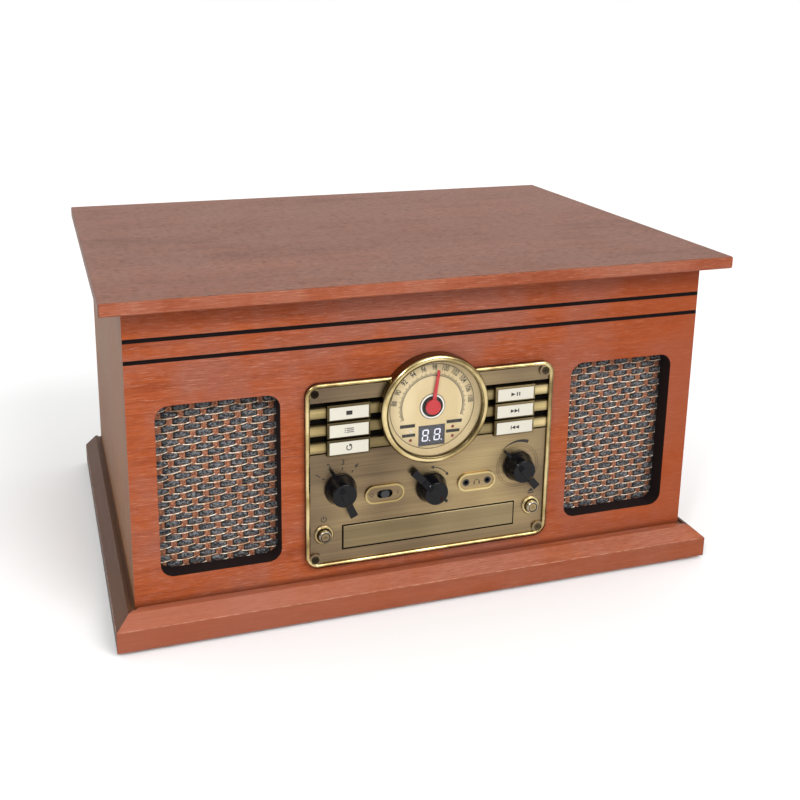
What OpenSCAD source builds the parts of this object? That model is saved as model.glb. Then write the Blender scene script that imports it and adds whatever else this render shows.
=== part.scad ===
// Table-top stereo music centre: wooden cabinet, hinged lid over a record deck,
// brass control panel with a round tuning dial, disc drawer and two speakers.
// Millimetres, +Z up, +Y towards the back, origin under the middle of the piece.

/* [Cabinet] */
// Thickness of the lid board
lid_t = 9.6; // [8:0.1:14]
// Overhang of the lid in front of the cabinet
lid_front_over = 19.2; // [17:0.1:26]
// Overhang of the lid at each side
lid_side_over = 15.5; // [10:0.5:24]
// Gap between the closed lid and the cabinet
lid_gap = 0.4; // [0.3:0.1:1]
// Thickness of the front panel
front_t = 14; // [12:0.5:18]
// Thickness of the side panels
side_t = 12; // [9:0.5:15]
// Thickness of the back panel
back_t = 5; // [4:0.5:8]
// Thickness of the bottom board
floor_t = 12; // [9:0.5:15]
// Depth of the record space above the deck
well_depth = 59.8; // [56:0.1:70]
// Height of the decorative grooves
groove_h = 2.5; // [1.5:0.1:4]
// Depth of the decorative grooves
groove_d = 2; // [1:0.1:4]
// Distance from the cabinet's top edge to the upper groove
groove_down = 23.4; // [18:0.1:26]
// Distance between the grooves
groove_pitch = 15.3; // [8:0.1:18]
// Width of the eased edge along the lid
lid_ease = 1.2; // [0.5:0.1:2.5]

/* [Plinth] */
// Height of the rubber feet
foot_h = 3; // [2:0.5:6]
// Radius of the rubber feet
foot_r = 9; // [6:0.5:12]
// Distance from the plinth's outer faces to the centre of a foot
foot_inset = 15; // [12:0.5:15]
// Height of the plinth's upright face
plinth_face_h = 15.9; // [12:0.1:22]
// Rise of the plinth's bevel
bevel_h = 8.5; // [5:0.1:12]
// Inset of the plinth's bevel
bevel_w = 9.65; // [6:0.05:12]
// Drop from the bevel's top edge to the ledge under the cabinet
ledge_drop = 1.1; // [0.5:0.1:2]
// Width of the ledge at the sides
ledge_side = 5.5; // [3:0.1:8]
// Width of the ledge at the front
ledge_front = 7.85; // [5:0.05:10]
// Width of the plinth's mouldings
plinth_w = 30; // [28:0.5:34]

/* [Speakers] */
// Width of a speaker window
window_w = 89; // [84:0.5:104]
// Height of a speaker window
window_h = 131; // [124:0.5:140]
// Corner radius of a speaker window
window_r = 10; // [5:0.5:16]
// Distance from a speaker window to the control panel
window_gap = 17.5; // [15:0.5:26]
// Distance from a speaker window to the cabinet's side
window_side = 19.5; // [17:0.5:28]
// Thickness of the grille cloth
cloth_t = 2; // [1.5:0.1:3]
// Thickness of the speaker boards
baffle_t = 8; // [6:0.5:12]
// Radius of a speaker's round frame
driver_r = 46; // [40:0.5:47]
// Depth of a speaker behind its board
driver_d = 52; // [40:1:60]

/* [Control panel] */
// Width of the panel
plate_w = 197; // [192:0.5:206]
// Height of the panel
plate_h = 146; // [144:0.5:152]
// Corner radius of the panel
plate_r = 10; // [6:0.5:12]
// Thickness of the panel's flat field
field_t = 2.5; // [2:0.1:3.5]
// Height of the raised rim over the field
rim_h = 1.5; // [0.8:0.1:2.5]
// Width of the raised rim
rim_w = 3.2; // [2:0.1:4]
// Distance from the bottom of the cabinet to the panel
plate_up = 11.2; // [9:0.1:18]
// Distance of the panel screws from the panel's side edges
screw_in_x = 6.9; // [6:0.1:9]
// Distance of the panel screws from the panel's top and bottom edges
screw_in_z = 7.3; // [6:0.1:9]
// Radius of the bosses round the panel screws
boss_r = 4.8; // [4:0.1:5.5]
// Radius of a panel screw's head
screw_head_r = 3; // [2.2:0.1:3.5]

/* [Dial] */
// Radius of the dial's bezel
bezel_r = 42.7; // [41:0.1:45]
// Width of the bezel's front ring
bezel_ring = 4.4; // [3:0.1:5]
// How far the bezel stands in front of the cabinet
bezel_out = 10; // [9:0.1:13]
// Height of the dial's centre above the middle of the panel
dial_up = 45.8; // [45:0.1:50]
// Length of the needle
needle_len = 28.8; // [24:0.1:32]
// Radius of the well round the needle's hub
well_r = 8.3; // [7:0.1:10]
// Radius of the needle's hub
hub_r = 5.9; // [4:0.1:6.5]
// Width of the number display
display_w = 21.4; // [16:0.1:24]
// Height of the number display
display_h = 16.6; // [14:0.1:18]
// Angle of the needle at rest, clockwise from straight up
needle_rest = 8; // [0:1:60]
// Radius of the cord drum behind the dial
drum_r = 24; // [20:0.5:27]
// Radius of the pulley on the tuning shaft
pulley_r = 8; // [6:0.5:9]

/* [Keys and buttons] */
// Width of a key
key_w = 32.6; // [28:0.1:34]
// Height of a key
key_h = 12.4; // [10:0.1:12.6]
// Distance between two rows of keys
key_pitch = 13.55; // [13.4:0.05:14.2]
// Height of the upper row of keys above the middle of the panel
key_up = 50; // [48:0.1:52]
// Distance of the keys' centres from the middle of the panel
key_x = 66.3; // [65:0.1:70]
// How far the keys stand in front of the cabinet
key_out = 6.2; // [5:0.1:8]
// How far a key moves
key_travel = 1; // [0.6:0.1:1.5]
// Radius of the half-round bars beside the keys
bar_r = 5; // [4.5:0.1:5.6]
// Radius of a round button
button_r = 4.9; // [4:0.1:5.4]
// How far the round buttons stand in front of the cabinet
button_out = 8; // [6:0.1:10]
// How far a round button moves
button_travel = 1.5; // [1:0.1:2]
// Outer radius of the ring round a button
ring_r = 7.5; // [6.9:0.1:8.2]
// Distance of the round buttons from the panel's side edges
button_in = 13.8; // [13:0.1:15]
// Height of the round buttons below the middle of the panel
button_down = 46.3; // [43:0.1:48]

/* [Knobs, switch and sockets] */
// Radius of a knob at the panel
knob_r = 12.2; // [10:0.1:13]
// Radius of a knob at its front
knob_front_r = 9.2; // [7:0.1:9.8]
// How far a knob stands in front of the cabinet
knob_out = 17.6; // [15:0.1:18.5]
// Length of the finger lever from a knob's axis
lever_len = 24; // [21:0.5:25]
// Length of the pointer from a knob's axis
pointer_len = 18; // [15:0.5:19]
// Distance of the outer knobs from the middle of the panel
knob_x = 72; // [70:0.5:73]
// Height of the outer knobs below the middle of the panel
knob_down = 11; // [10:0.1:12]
// Height of the tuning knob below the middle of the panel
tuning_down = 19.2; // [18:0.1:19.5]
// Radius of the knobs' shafts
shaft_r = 3; // [2.5:0.1:3.5]
// Width of the oval plates for the switch and the sockets
oval_w = 31; // [30:0.5:33]
// Height of the oval plates
oval_h = 14.6; // [13:0.1:16]
// Distance of the oval plates from the middle of the panel
oval_x = 37.4; // [36:0.1:39]
// Travel of the slide switch to each side
switch_travel = 2.6; // [1.5:0.1:3]
// Radius of the bore of a headphone socket
jack_r = 1.8; // [1.75:0.05:1.85]
// Distance between the two sockets
jack_pitch = 17.8; // [16:0.1:18.5]

/* [Disc drawer] */
// Width of the drawer's front
drawer_w = 138.8; // [136:0.1:140]
// Height of the drawer's front
drawer_h = 18; // [17:0.1:19]
// Height of the drawer's centre below the middle of the panel
drawer_down = 50.8; // [50.2:0.1:51.4]
// Radius of the recess for the disc
disc_r = 60.8; // [60.5:0.1:61]
// How far the drawer opens
drawer_travel = 136; // [125:1:138]

/* [Record deck] */
// Diameter of the record that the deck holds
record_d = 301; // [301:0.5:305]
// Clear space round the record
record_gap = 2.5; // [2:0.5:8]
// Thickness of the deck
deck_t = 3; // [2.5:0.5:5]
// Radius of the platter
platter_r = 97; // [88:1:110]
// Height of the platter's top above the deck
platter_up = 10; // [9.5:0.1:12]
// Thickness of the mat
mat_t = 2.5; // [1.5:0.1:3.5]
// Radius of the record spindle
spindle_r = 3.55; // [3.5:0.05:3.6]
// Height of the spindle above the mat
spindle_up = 13; // [10:0.5:15]
// Radius of the platter's drive ring
drive_r = 58; // [50:1:64]
// Radius of the motor's pulley
motor_pulley_r = 6; // [5:0.5:8]
// Distance from the arm's pivot to the spindle
pivot_distance = 185; // [183:0.5:190]
// Distance from the arm's pivot to the stylus
arm_len = 195; // [193:0.5:198]
// Height of the arm's tube above the deck
arm_up = 28; // [27.5:0.5:30]
// Radius of the arm's tube
arm_r = 4; // [3:0.1:4.5]

/* [Lid stay] */
// Distance from the lid's hinge axis to the stay's pivot, and the stay's own length
stay_len = 120; // [110:1:130]
// Opening angle of the lid
lid_angle = 75; // [60:1:76]
// Height of the hinge axis below the lid
hinge_drop = 6.2; // [5.8:0.1:8]

/* [Hidden] */

$fn = 64;
cut = 1;            // overshoot of a cutting shape
slip = 0.3;         // clearance round a piece that slides or swings
turn = 0.05;        // radial clearance of a shaft in its bore
wood = "sienna";
brass = "darkkhaki";

// Cabinet, from the control panel outwards and from the record outwards
body_w = plate_w + 2 * (window_gap + window_w + window_side);
body_d = front_t + record_d + 2 * record_gap + back_t;
lid_w = body_w + 2 * lid_side_over;
lid_d = body_d + lid_front_over;
hinge_r = 3;                        // outer radius of a hinge knuckle
hinge_back = hinge_r + 0.4;         // hinge axis behind the cabinet
front_y = -(lid_d + hinge_back + hinge_r) / 2 + lid_front_over;
back_y = front_y + body_d;
inner_x = body_w / 2 - side_t;
inner_front = front_y + front_t;
inner_back = back_y - back_t;

plinth_top = foot_h + plinth_face_h + bevel_h;
body_z = plinth_top - ledge_drop;
floor_z = body_z + floor_t;
plate_z = body_z + plate_up + plate_h / 2;
dial_z = plate_z + dial_up;
drum_deck_gap = 6.7;
deck_z = dial_z + drum_r + drum_deck_gap + deck_t;
body_top = deck_z + well_depth;
lid_z = body_top + lid_gap;
hinge_y = back_y + hinge_back;
hinge_z = lid_z - hinge_drop;

// Depths behind the front face, and heights in front of it
field = field_t;
rim = field_t + rim_h;
board_in = 13;                      // face of the control board behind the cabinet's front
board_t = 1.6;
drum_in = 16.5;                     // face of the cord drum
drum_t = 3;
drum_flange = 0.9;
flange = 0.8;                       // back flange of the bezel
face_out = flange + 0.8;            // dial face in front of the cabinet
lens_out = 5.2;
lens_t = 1.4;
knob_z = plate_z - knob_down;
tuning_z = plate_z - tuning_down;
button_x = plate_w / 2 - button_in;
button_flange = 1.2;                // flange of a round button behind the panel
opening_x = button_x + button_r + button_flange + 0.6;  // half of the opening behind the panel
opening_top = plate_h / 2 - 15;
opening_low = drawer_down + drawer_h / 2 + 2;
button_z = plate_z - button_down;
drawer_z = plate_z - drawer_down;
speaker_x = plate_w / 2 + window_gap + window_w / 2;
speaker_z = plate_z + 1.8;

// Record deck
platter_z = deck_z + platter_up;
mat_z = platter_z + mat_t;
record_x = -inner_x + record_gap + 1.5 + record_d / 2;
record_y = inner_front + record_gap + record_d / 2;
pivot_back = 70;                    // arm pivot behind the spindle
pivot_x = record_x + sqrt(pivot_distance * pivot_distance - pivot_back * pivot_back);
pivot_y = record_y + pivot_back;
arm_z = deck_z + arm_up;
motor_x = record_x - drive_r - motor_pulley_r - 14;
bush_d = 22;                        // depth of the spindle's bearing under the deck
journal_r = spindle_r + 1.2;        // the spindle where it turns in the deck and carries the platter
cue_r = 40;                         // cue lift, from the arm's pivot
cue_sweep = 52;                     // angle that the cue lift covers

// Places the children on the cabinet's front: x across, y up from z, z out of the cabinet
module on_front(x, z, out = 0) {
  translate([x, front_y - out, z]) rotate([90, 0, 0]) children();
}

// Board between two corners
module slab(low, high) {
  translate(low) cube(high - low);
}

// Flat rectangle with round corners, centred
module round_rect(w, h, r) {
  square([w - 2 * r, h], center = true);
  square([w, h - 2 * r], center = true);
  for (x = [-1, 1], y = [-1, 1]) translate([x * (w / 2 - r), y * (h / 2 - r)]) circle(r);
}

// Flat oval with straight sides, centred
module oval(w, h) {
  square([w - h, h], center = true);
  for (x = [-1, 1]) translate([x * (w - h) / 2, 0]) circle(h / 2);
}

// Points of an arc, for profiles
function arc(cx, cy, r, from, to, steps = 8) =
  [for (i = [0:steps]) let (a = from + (to - from) * i / steps) [cx + r * cos(a), cy + r * sin(a)]];

// Outline of a belt or cord round two pulleys, the second one straight below the first in the sketch
function loop_points(r1, r2, distance) =
  let (lean = asin((r1 - r2) / distance))
  concat(arc(0, 0, r1, -lean, 180 + lean, 56), arc(0, -distance, r2, 180 + lean, 360 - lean, 24));

// Closed belt of the given thickness outside two pulleys
module belt(r1, r2, distance, thickness, height) {
  linear_extrude(height) difference() {
    polygon(loop_points(r1 + thickness, r2 + thickness, distance));
    polygon(loop_points(r1, r2, distance));
  }
}

/* Cabinet */

module window_outline(x, extra = 0) {
  translate([x, speaker_z]) round_rect(window_w + 2 * extra, window_h + 2 * extra, window_r + extra);
}

module panel_opening() {
  translate([-opening_x, plate_z - opening_low]) square([2 * opening_x, opening_low + opening_top]);
  translate([0, dial_z]) circle(bezel_r - bezel_ring);
}

// Front board: mitred to the side boards, with the windows, the opening and two grooves
module front_panel() {
  color(wood) difference() {
    translate([0, 0, body_z]) linear_extrude(body_top - body_z)
      polygon([[-body_w / 2, front_y], [body_w / 2, front_y],
               [inner_x, inner_front], [-inner_x, inner_front]]);
    on_front(0, 0, cut) translate([0, 0, -front_t - cut]) linear_extrude(front_t + 3 * cut) {
      for (x = [-speaker_x, speaker_x]) window_outline(x);
      panel_opening();
    }
    for (i = [0, 1])
      translate([0, front_y, body_top - groove_down - i * groove_pitch])
        cube([body_w + 2 * cut, 2 * groove_d, groove_h], center = true);
    on_front(0, plate_z) screw_places() translate([0, 0, -front_t])
      cylinder(r = screw_head_r / 2 + turn, h = front_t + cut);
  }
}

cleat_w = 9;
cleat_h = 10;

module side_panels() {
  cleat_front = inner_front + cloth_t + baffle_t + slip;
  cleat_top = deck_z - deck_t;
  color(wood) for (side = [0, 1]) mirror([side, 0, 0]) {
    translate([0, 0, body_z]) linear_extrude(body_top - body_z)
      polygon([[body_w / 2, front_y], [body_w / 2, back_y], [inner_x, back_y], [inner_x, inner_front]]);
    slab([inner_x - cleat_w, cleat_front, cleat_top - cleat_h], [inner_x, inner_back, cleat_top]);
  }
}

vent_w = 4;
vent_h = 42;
vent_pitch = 10;
vent_count = 9;
vent_x = 0.47 * inner_x;            // middle of a group of vents
vent_down = 55;                     // middle of the vents below the deck
socket_w = 96;                      // plate of the rear sockets
socket_h = 34;
socket_x = inner_x - socket_w / 2 - 54.5;
socket_z = floor_z + socket_h / 2 + 15;

module back_panel() {
  color("saddlebrown") difference() {
    slab([-inner_x, inner_back, body_z], [inner_x, back_y, body_top]);
    for (group = [-vent_x, vent_x], i = [0:vent_count - 1])
      translate([group + (i - (vent_count - 1) / 2) * vent_pitch, back_y, deck_z - vent_down])
        rotate([90, 90, 0]) translate([0, 0, -cut]) linear_extrude(back_t + 2 * cut) oval(vent_h, vent_w);
    translate([socket_x, back_y + cut, socket_z]) rotate([90, 0, 0])
      linear_extrude(back_t + 2 * cut) round_rect(socket_w - 12, socket_h - 8, 3);
  }
}

module bottom_board() {
  color("burlywood") slab([-inner_x, inner_front, body_z], [inner_x, inner_back, floor_z]);
}

plinth_x = body_w / 2 + ledge_side + bevel_w;
plinth_y = front_y - ledge_front - bevel_w;

// Wedge that bevels a top edge of the plinth: x inwards from the outer face, y up, z along the edge
module bevel_wedge(length) {
  top = plinth_face_h + bevel_h;
  translate([0, 0, -cut]) linear_extrude(length + 2 * cut)
    polygon([[-cut, plinth_face_h], [0, plinth_face_h], [bevel_w, top],
             [bevel_w, top + cut], [-cut, top + cut]]);
}

// Plinth: three mouldings that meet in mitres, with a seat that the case stands in
module plinth() {
  seat_side = 0.45 * ledge_side;
  seat_front = 0.45 * ledge_front;
  color(wood) difference() {
    slab([-plinth_x, plinth_y, foot_h], [plinth_x, back_y, plinth_top]);
    slab([plinth_w - plinth_x, plinth_y + plinth_w, foot_h - cut],
         [plinth_x - plinth_w, back_y + cut, plinth_top + cut]);
    slab([bevel_w + seat_side - plinth_x, plinth_y + bevel_w + seat_front, body_z],
         [plinth_x - bevel_w - seat_side, back_y + cut, plinth_top + cut]);
    translate([-plinth_x, plinth_y, foot_h]) rotate([90, 0, 90]) bevel_wedge(2 * plinth_x);
    for (side = [0, 1]) mirror([side, 0, 0])
      translate([-plinth_x, back_y, foot_h]) rotate([90, 0, 0]) bevel_wedge(back_y - plinth_y);
  }
}

module feet() {
  foot_x = plinth_x - foot_inset;
  color("dimgray") for (x = [-foot_x, foot_x], y = [plinth_y + foot_inset, back_y - foot_inset])
    translate([x, y, 0]) difference() {
      cylinder(r1 = foot_r - 1, r2 = foot_r, h = foot_h);
      translate([0, 0, -cut]) cylinder(r = 2.5, h = foot_h / 2 + cut);
    }
}

rest_reach = 132;                   // arm rest, from the arm's pivot
cue_x = pivot_x + 36;
cue_y = pivot_y - 22;
cue_z = deck_z + 9;
cue_axle_r = 2;
cue_pin_r = 2.5;                    // guide pin of the cue lift
speed_x = inner_x - 30;
speed_y = inner_front + 46;
speed_travel = 16;

module deck() {
  low = deck_z - deck_t;
  ear_t = 3;
  color("dimgray") difference() {
    union() {
      slab([-inner_x + slip, inner_front + slip, low], [inner_x - slip, inner_back - slip, deck_z]);
      // Bearing bush of the spindle
      translate([record_x, record_y, low - bush_d]) cylinder(r = journal_r + 3.8, h = bush_d + deck_t);
      cue_boss() cylinder(r = cue_pin_r + 2.5, h = deck_t + 12);
      // Ears of the cue lever
      for (x = [-8, 8 - ear_t]) translate([cue_x + x, cue_y - 4, deck_z - deck_t / 2])
        cube([ear_t, 8, cue_z - deck_z + deck_t / 2 + 3.5]);
    }
    translate([record_x, record_y, low - bush_d + 3]) cylinder(r = journal_r + turn, h = 2 * bush_d);
    cue_boss() translate([0, 0, -cut]) cylinder(r = cue_pin_r + turn, h = 50);
    translate([motor_x, record_y, low - cut]) cylinder(r = motor_pulley_r + 3, h = deck_t + 2 * cut);
    translate([pivot_x, pivot_y, low - cut]) cylinder(r = arm_bush_r + 0.2, h = deck_t + 2 * cut);
    translate([cue_x - 10, cue_y, cue_z]) rotate([0, 90, 0]) cylinder(r = cue_axle_r + turn, h = 20);
    translate([speed_x - 2.5, speed_y - 4, low - cut]) cube([5, speed_travel + 8, deck_t + 2 * cut]);
  }
}

// Guide boss of the cue lift, from the underside of the deck
module cue_boss() {
  side = cue_r * sin(cue_sweep / 2);
  ahead = cue_r * cos(cue_sweep / 2);
  translate([pivot_x - side, pivot_y - ahead, deck_z - deck_t]) children();
}

/* Speakers */

module grille_cloths() {
  color("darkslategray") for (x = [-speaker_x, speaker_x])
    on_front(0, 0) translate([0, 0, -front_t - cloth_t]) linear_extrude(cloth_t) window_outline(x, 4);
}

module speaker_boards() {
  color("black") for (x = [-speaker_x, speaker_x])
    on_front(0, 0) translate([0, 0, -front_t - cloth_t - baffle_t]) linear_extrude(baffle_t) difference() {
      window_outline(x, 5);
      translate([x, speaker_z]) circle(driver_r - 6);
    }
}

// Loudspeaker as a turned form: frame, cone and magnet
module speakers() {
  flange_t = 2;
  magnet_r = driver_r * 0.6;
  magnet_t = 14;
  cone_r = driver_r - 8;
  color("gray") for (x = [-speaker_x, speaker_x])
    on_front(x, speaker_z) translate([0, 0, -front_t - cloth_t - baffle_t])
      rotate_extrude() polygon(concat(
        [[0, -driver_d], [magnet_r, -driver_d], [magnet_r, magnet_t - driver_d],
         [magnet_r * 0.8, magnet_t - driver_d], [cone_r, -8], [cone_r, -flange_t],
         [driver_r, -flange_t], [driver_r, 0], [driver_r - 6.5, 0]],
        arc(cone_r - 2, -1, 3, 45, 180, 6),
        [[cone_r - 6, -3], [12, -22]],
        arc(0, -24, 12, 10, 90, 5)));
}

/* Control panel */

module plate_outline(inset = 0) {
  difference() {
    round_rect(plate_w - 2 * inset, plate_h - 2 * inset, plate_r - inset);
    translate([0, dial_up]) circle(bezel_r + 0.15);
  }
}

key_window_w = key_w + 2 * slip;
key_window_h = 2 * key_pitch + key_h + 2 * slip;
bar_top = key_up + bar_r + 3.2;
bar_low = key_up - 2 * key_pitch - bar_r + 0.2;
pocket_floor = 0.6;
switch_slot_w = 12.4;
switch_slot_h = 6.4;
socket_nose_r = 2.8;
jack_body_r = 4.5;
post_r = 2.5;
bush_in = 6;                        // length of the shaft bushes behind the panel
screw_sunk = 1.6;                   // depth of the panel screws' countersinks

// Places the children at the four panel screws
module screw_places() {
  for (x = [-1, 1], z = [-1, 1])
    translate([x * (plate_w / 2 - screw_in_x), z * (plate_h / 2 - screw_in_z)]) children();
}

// Plan of everything that goes right through the panel
module panel_holes() {
  for (x = [-key_x, key_x]) translate([x, key_up - key_pitch])
    square([key_window_w, key_window_h], center = true);
  for (x = [-button_x, button_x]) translate([x, -button_down]) circle(button_r + slip);
  translate([-oval_x, -tuning_down]) oval(switch_slot_w + 1, switch_slot_h + 1);
  for (i = [-1, 1]) translate([oval_x + i * jack_pitch / 2, -tuning_down]) circle(socket_nose_r + 0.1);
  translate([0, -drawer_down]) square([drawer_w + 2 * slip, drawer_h + 2 * slip], center = true);
  screw_places() circle(screw_head_r / 2 + turn);
}

module knob_places() {
  for (p = [[-knob_x, -knob_down], [0, -tuning_down], [knob_x, -knob_down]]) translate(p) children();
}

module control_panel() {
  posts = [for (x = [-52, 52], y = [4, -33]) [x, y]];
  color(brass) on_front(0, plate_z) difference() {
    union() {
      linear_extrude(field) plate_outline();
      // Raised rim and screw bosses
      linear_extrude(rim) intersection() {
        plate_outline();
        union() {
          difference() {
            plate_outline();
            round_rect(plate_w - 2 * rim_w, plate_h - 2 * rim_w, plate_r - rim_w);
          }
          screw_places() circle(boss_r);
        }
      }
      // Bushes of the shafts and posts for the control board, behind the panel
      knob_places() translate([0, 0, -bush_in]) cylinder(r = shaft_r + 2.5, h = bush_in + field / 2);
      for (p = posts) translate([p[0], p[1], -board_in]) cylinder(r = post_r, h = board_in + field / 2);
    }
    // Sunk fields behind the bars
    difference() {
      translate([0, 0, pocket_floor]) linear_extrude(rim) for (side = [-1, 1]) intersection() {
        translate([side * plate_w / 4, (bar_top + bar_low) / 2])
          square([plate_w / 2, bar_top - bar_low], center = true);
        square([plate_w - 2 * rim_w, plate_h], center = true);
      }
      for (row = [0:2]) translate([0, key_up - row * key_pitch, -0.8]) rotate([0, 90, 0])
        cylinder(r = bar_r, h = plate_w, center = true);
    }
    translate([0, 0, -cut]) linear_extrude(rim + 2 * cut) panel_holes();
    knob_places() translate([0, 0, -bush_in - cut])
      cylinder(r = shaft_r + turn, h = bush_in + rim + 2 * cut);
    screw_places() translate([0, 0, rim - screw_sunk]) cylinder(r = screw_head_r + 0.1, h = screw_sunk + cut);
    // Scribed rings round the volume knob
    for (r = [16, 17.6]) translate([knob_x, -knob_down, field - 0.2])
      difference() {
        cylinder(r = r + 0.2, h = rim);
        cylinder(r = r - 0.2, h = rim);
      }
  }
}

// Screws with a cross slot, sunk into the bosses
module panel_screws() {
  seat = rim - screw_sunk;
  color("black") on_front(0, plate_z) screw_places() difference() {
    union() {
      translate([0, 0, seat]) cylinder(r = screw_head_r, h = screw_sunk - 0.5);
      translate([0, 0, 2 - front_t]) cylinder(r = screw_head_r / 2, h = front_t - 2 + seat);
    }
    for (a = [0, 90]) translate([0, 0, rim - 0.5]) rotate([0, 0, a]) cube([3.4, 0.7, 1.2], center = true);
  }
}

/* Dial */

// Turned bezel: flat back flange, upright wall, round front ring with a lip over the lens
module dial_bezel() {
  inner = bezel_r - bezel_ring;
  round = 3;
  color(brass) on_front(0, dial_z) rotate_extrude() polygon(concat(
    [[inner - 2, 0], [bezel_r, 0]],
    arc(bezel_r - round, bezel_out - round, round, 0, 90),
    arc(inner + 0.2, bezel_out - 1.2, 1.2, 90, 180),
    [[inner - 1, lens_out + lens_t + 0.1], [inner + 0.2, lens_out + lens_t + 0.1], [inner + 0.2, flange],
     [inner - 2, flange]]));
}

// Slightly domed window of the dial
module dial_lens() {
  r = bezel_r - bezel_ring;
  crown = 1;
  bow = (r * r + crown * crown) / (2 * crown);
  edge = asin(r / bow);
  color("white", 0.3) on_front(0, dial_z, lens_out) rotate_extrude()
    polygon(concat([[0, 0], [r, 0]], arc(0, lens_t + crown - 0.6 - bow, bow, 90 - edge, 90, 6)));
}

face_r = bezel_r - bezel_ring - 4;
led_places = [for (x = [-16.9, 16.9], y = [-18, -25.6]) [x, y]];
display_down = 23.2;

// Dial face: a shallow dish with a sunk well for the hub and a window for the display
module dial_face() {
  outer = bezel_r - bezel_ring;
  cup = 1;
  color("wheat") on_front(0, dial_z) difference() {
    rotate_extrude() polygon([
      [shaft_bore, -8], [shaft_bore + 2, -8], [shaft_bore + 2, -3], [well_r + cup, -3],
      [well_r + cup, flange + 0.05], [outer, flange + 0.05], [outer, lens_out - 0.1],
      [outer - 0.8, lens_out - 0.1], [face_r, face_out],
      [well_r + 1.3, face_out], [well_r + 1.3, face_out + 0.4], [well_r, face_out + 0.4], [well_r, -2],
      [shaft_bore, -2]]);
    translate([-display_w / 2, -display_down - display_h / 2, -cut]) cube([display_w, display_h, 5]);
    for (p = led_places) translate([p[0], p[1], -cut]) cylinder(r = 1.3, h = 5);
  }
}

needle_shaft_r = 1.5;
shaft_bore = needle_shaft_r + turn;

module display() {
  play = 0.15;
  color("darkslategray") on_front(0, dial_z) {
    translate([0, -display_down, (face_out - 6.5) / 2 - 0.3])
      cube([display_w - 2 * play, display_h - 2 * play, face_out + 5.9], center = true);
    translate([-22, -display_down - display_h / 2 + 2, -7.7]) cube([44, display_h - 2, 1.4]);
    for (p = led_places) translate([p[0], p[1], -7]) cylinder(r = 1.15, h = face_out + 7);
  }
}

// Needle with its round hub; it turns in front of the dial face
module dial_needle() {
  base = face_out + 1;
  color("firebrick") on_front(0, dial_z) rotate([0, 0, -needle_rest]) {
    translate([0, 0, base]) cylinder(r = hub_r, h = 1.6);
    translate([0, 0, base + 0.2]) linear_extrude(1)
      polygon([[-1.5, 0], [1.5, 0], [0.95, needle_len], [-0.95, needle_len]]);
    translate([0, 0, -drum_in - drum_t]) cylinder(r = needle_shaft_r, h = drum_in + drum_t + base + 0.5);
  }
}

// Drum with a groove for the cord, fixed on the needle's shaft
module needle_drum() {
  groove = 1;
  color("ivory") on_front(0, dial_z, -drum_in - drum_t) difference() {
    union() {
      cylinder(r = drum_r, h = drum_t);
      for (z = [0, drum_t - drum_flange]) translate([0, 0, z]) cylinder(r = drum_r + groove, h = drum_flange);
    }
    translate([0, 0, -cut]) cylinder(r = needle_shaft_r + 0.02, h = drum_t + 2 * cut);
    for (a = [0:60:300]) rotate([0, 0, a]) translate([drum_r * 0.58, 0, -cut])
      cylinder(r = drum_r * 0.19, h = drum_t + 2 * cut);
  }
}

module dial_cord() {
  color("tan") on_front(0, dial_z, -drum_in - drum_t) translate([0, 0, drum_t / 2 - 0.3])
    belt(drum_r + slip, pulley_r + slip, dial_up + tuning_down, 0.6, 0.6);
}

// Shaft of the tuning knob with the small pulley of the cord
module tuning_shaft() {
  low = -drum_in - drum_t;
  color("silver") on_front(0, tuning_z) {
    translate([0, 0, low - 0.5]) cylinder(r = shaft_r, h = field + 9 + 0.5 - low);
    translate([0, 0, low]) cylinder(r = pulley_r, h = drum_t);
    for (z = [low, -drum_in - drum_flange]) translate([0, 0, z]) cylinder(r = pulley_r + 1, h = drum_flange);
  }
}

pot_r = 8.5;
pot_gap = 0.3;                      // between a bush and the part behind it
stem_in = 11;                       // end of the knob stems behind the cabinet's front
key_stem_in = 7.6;
button_stem_in = 8;
tact_h = board_in - key_stem_in - key_travel - 0.3;
button_tact_h = board_in - button_stem_in - button_travel - 0.3;

// Block that stands on the control board
module board_block(w, h, height) {
  translate([-w / 2, -h / 2, -board_in - board_t / 2]) cube([w, h, height + board_t / 2]);
}

// Circuit board behind the panel with the rotary parts and push switches on it
module control_board() {
  notch_w = drawer_w + 4;
  notch_top = drawer_h / 2 + 2 - drawer_down;
  deep = 20;                        // depth of the cuts behind the cabinet's front
  color("darkgreen") on_front(0, plate_z) difference() {
    union() {
      translate([-opening_x + 0.5, -opening_low + 0.5, -board_in - board_t])
        cube([2 * opening_x - 1, opening_low + opening_top - 1, board_t]);
      for (x = [-knob_x, knob_x]) translate([x, -knob_down, -board_in - board_t / 2])
        cylinder(r = pot_r, h = board_in + board_t / 2 - bush_in - pot_gap);
      for (side = [-1, 1], row = [0:2]) translate([side * key_x, key_up - row * key_pitch])
        board_block(6, 6, tact_h);
      for (x = [-button_x, button_x]) translate([x, -button_down]) board_block(6, 6, button_tact_h);
      translate([-oval_x, -tuning_down]) board_block(20, 10, board_in - 2);
    }
    for (x = [-knob_x, knob_x]) translate([x, -knob_down, -stem_in - 0.5])
      cylinder(r = shaft_r + turn, h = deep);
    translate([0, -tuning_down, -deep]) cylinder(r = shaft_r + 1, h = 2 * deep);
    translate([0, dial_up, -deep]) cylinder(r = 6, h = deep);
    translate([-notch_w / 2, -plate_h / 2, -deep]) cube([notch_w, plate_h / 2 + notch_top, 2 * deep]);
    translate([0, dial_up - display_down - 2, -deep]) linear_extrude(15)
      square([48, display_h + 8], center = true);
    for (i = [-1, 1]) translate([oval_x + i * jack_pitch / 2, -tuning_down, -deep])
      cylinder(r = jack_body_r + 0.3, h = 2 * deep);
  }
}

/* Keys, buttons, knobs, switch and sockets */

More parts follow.
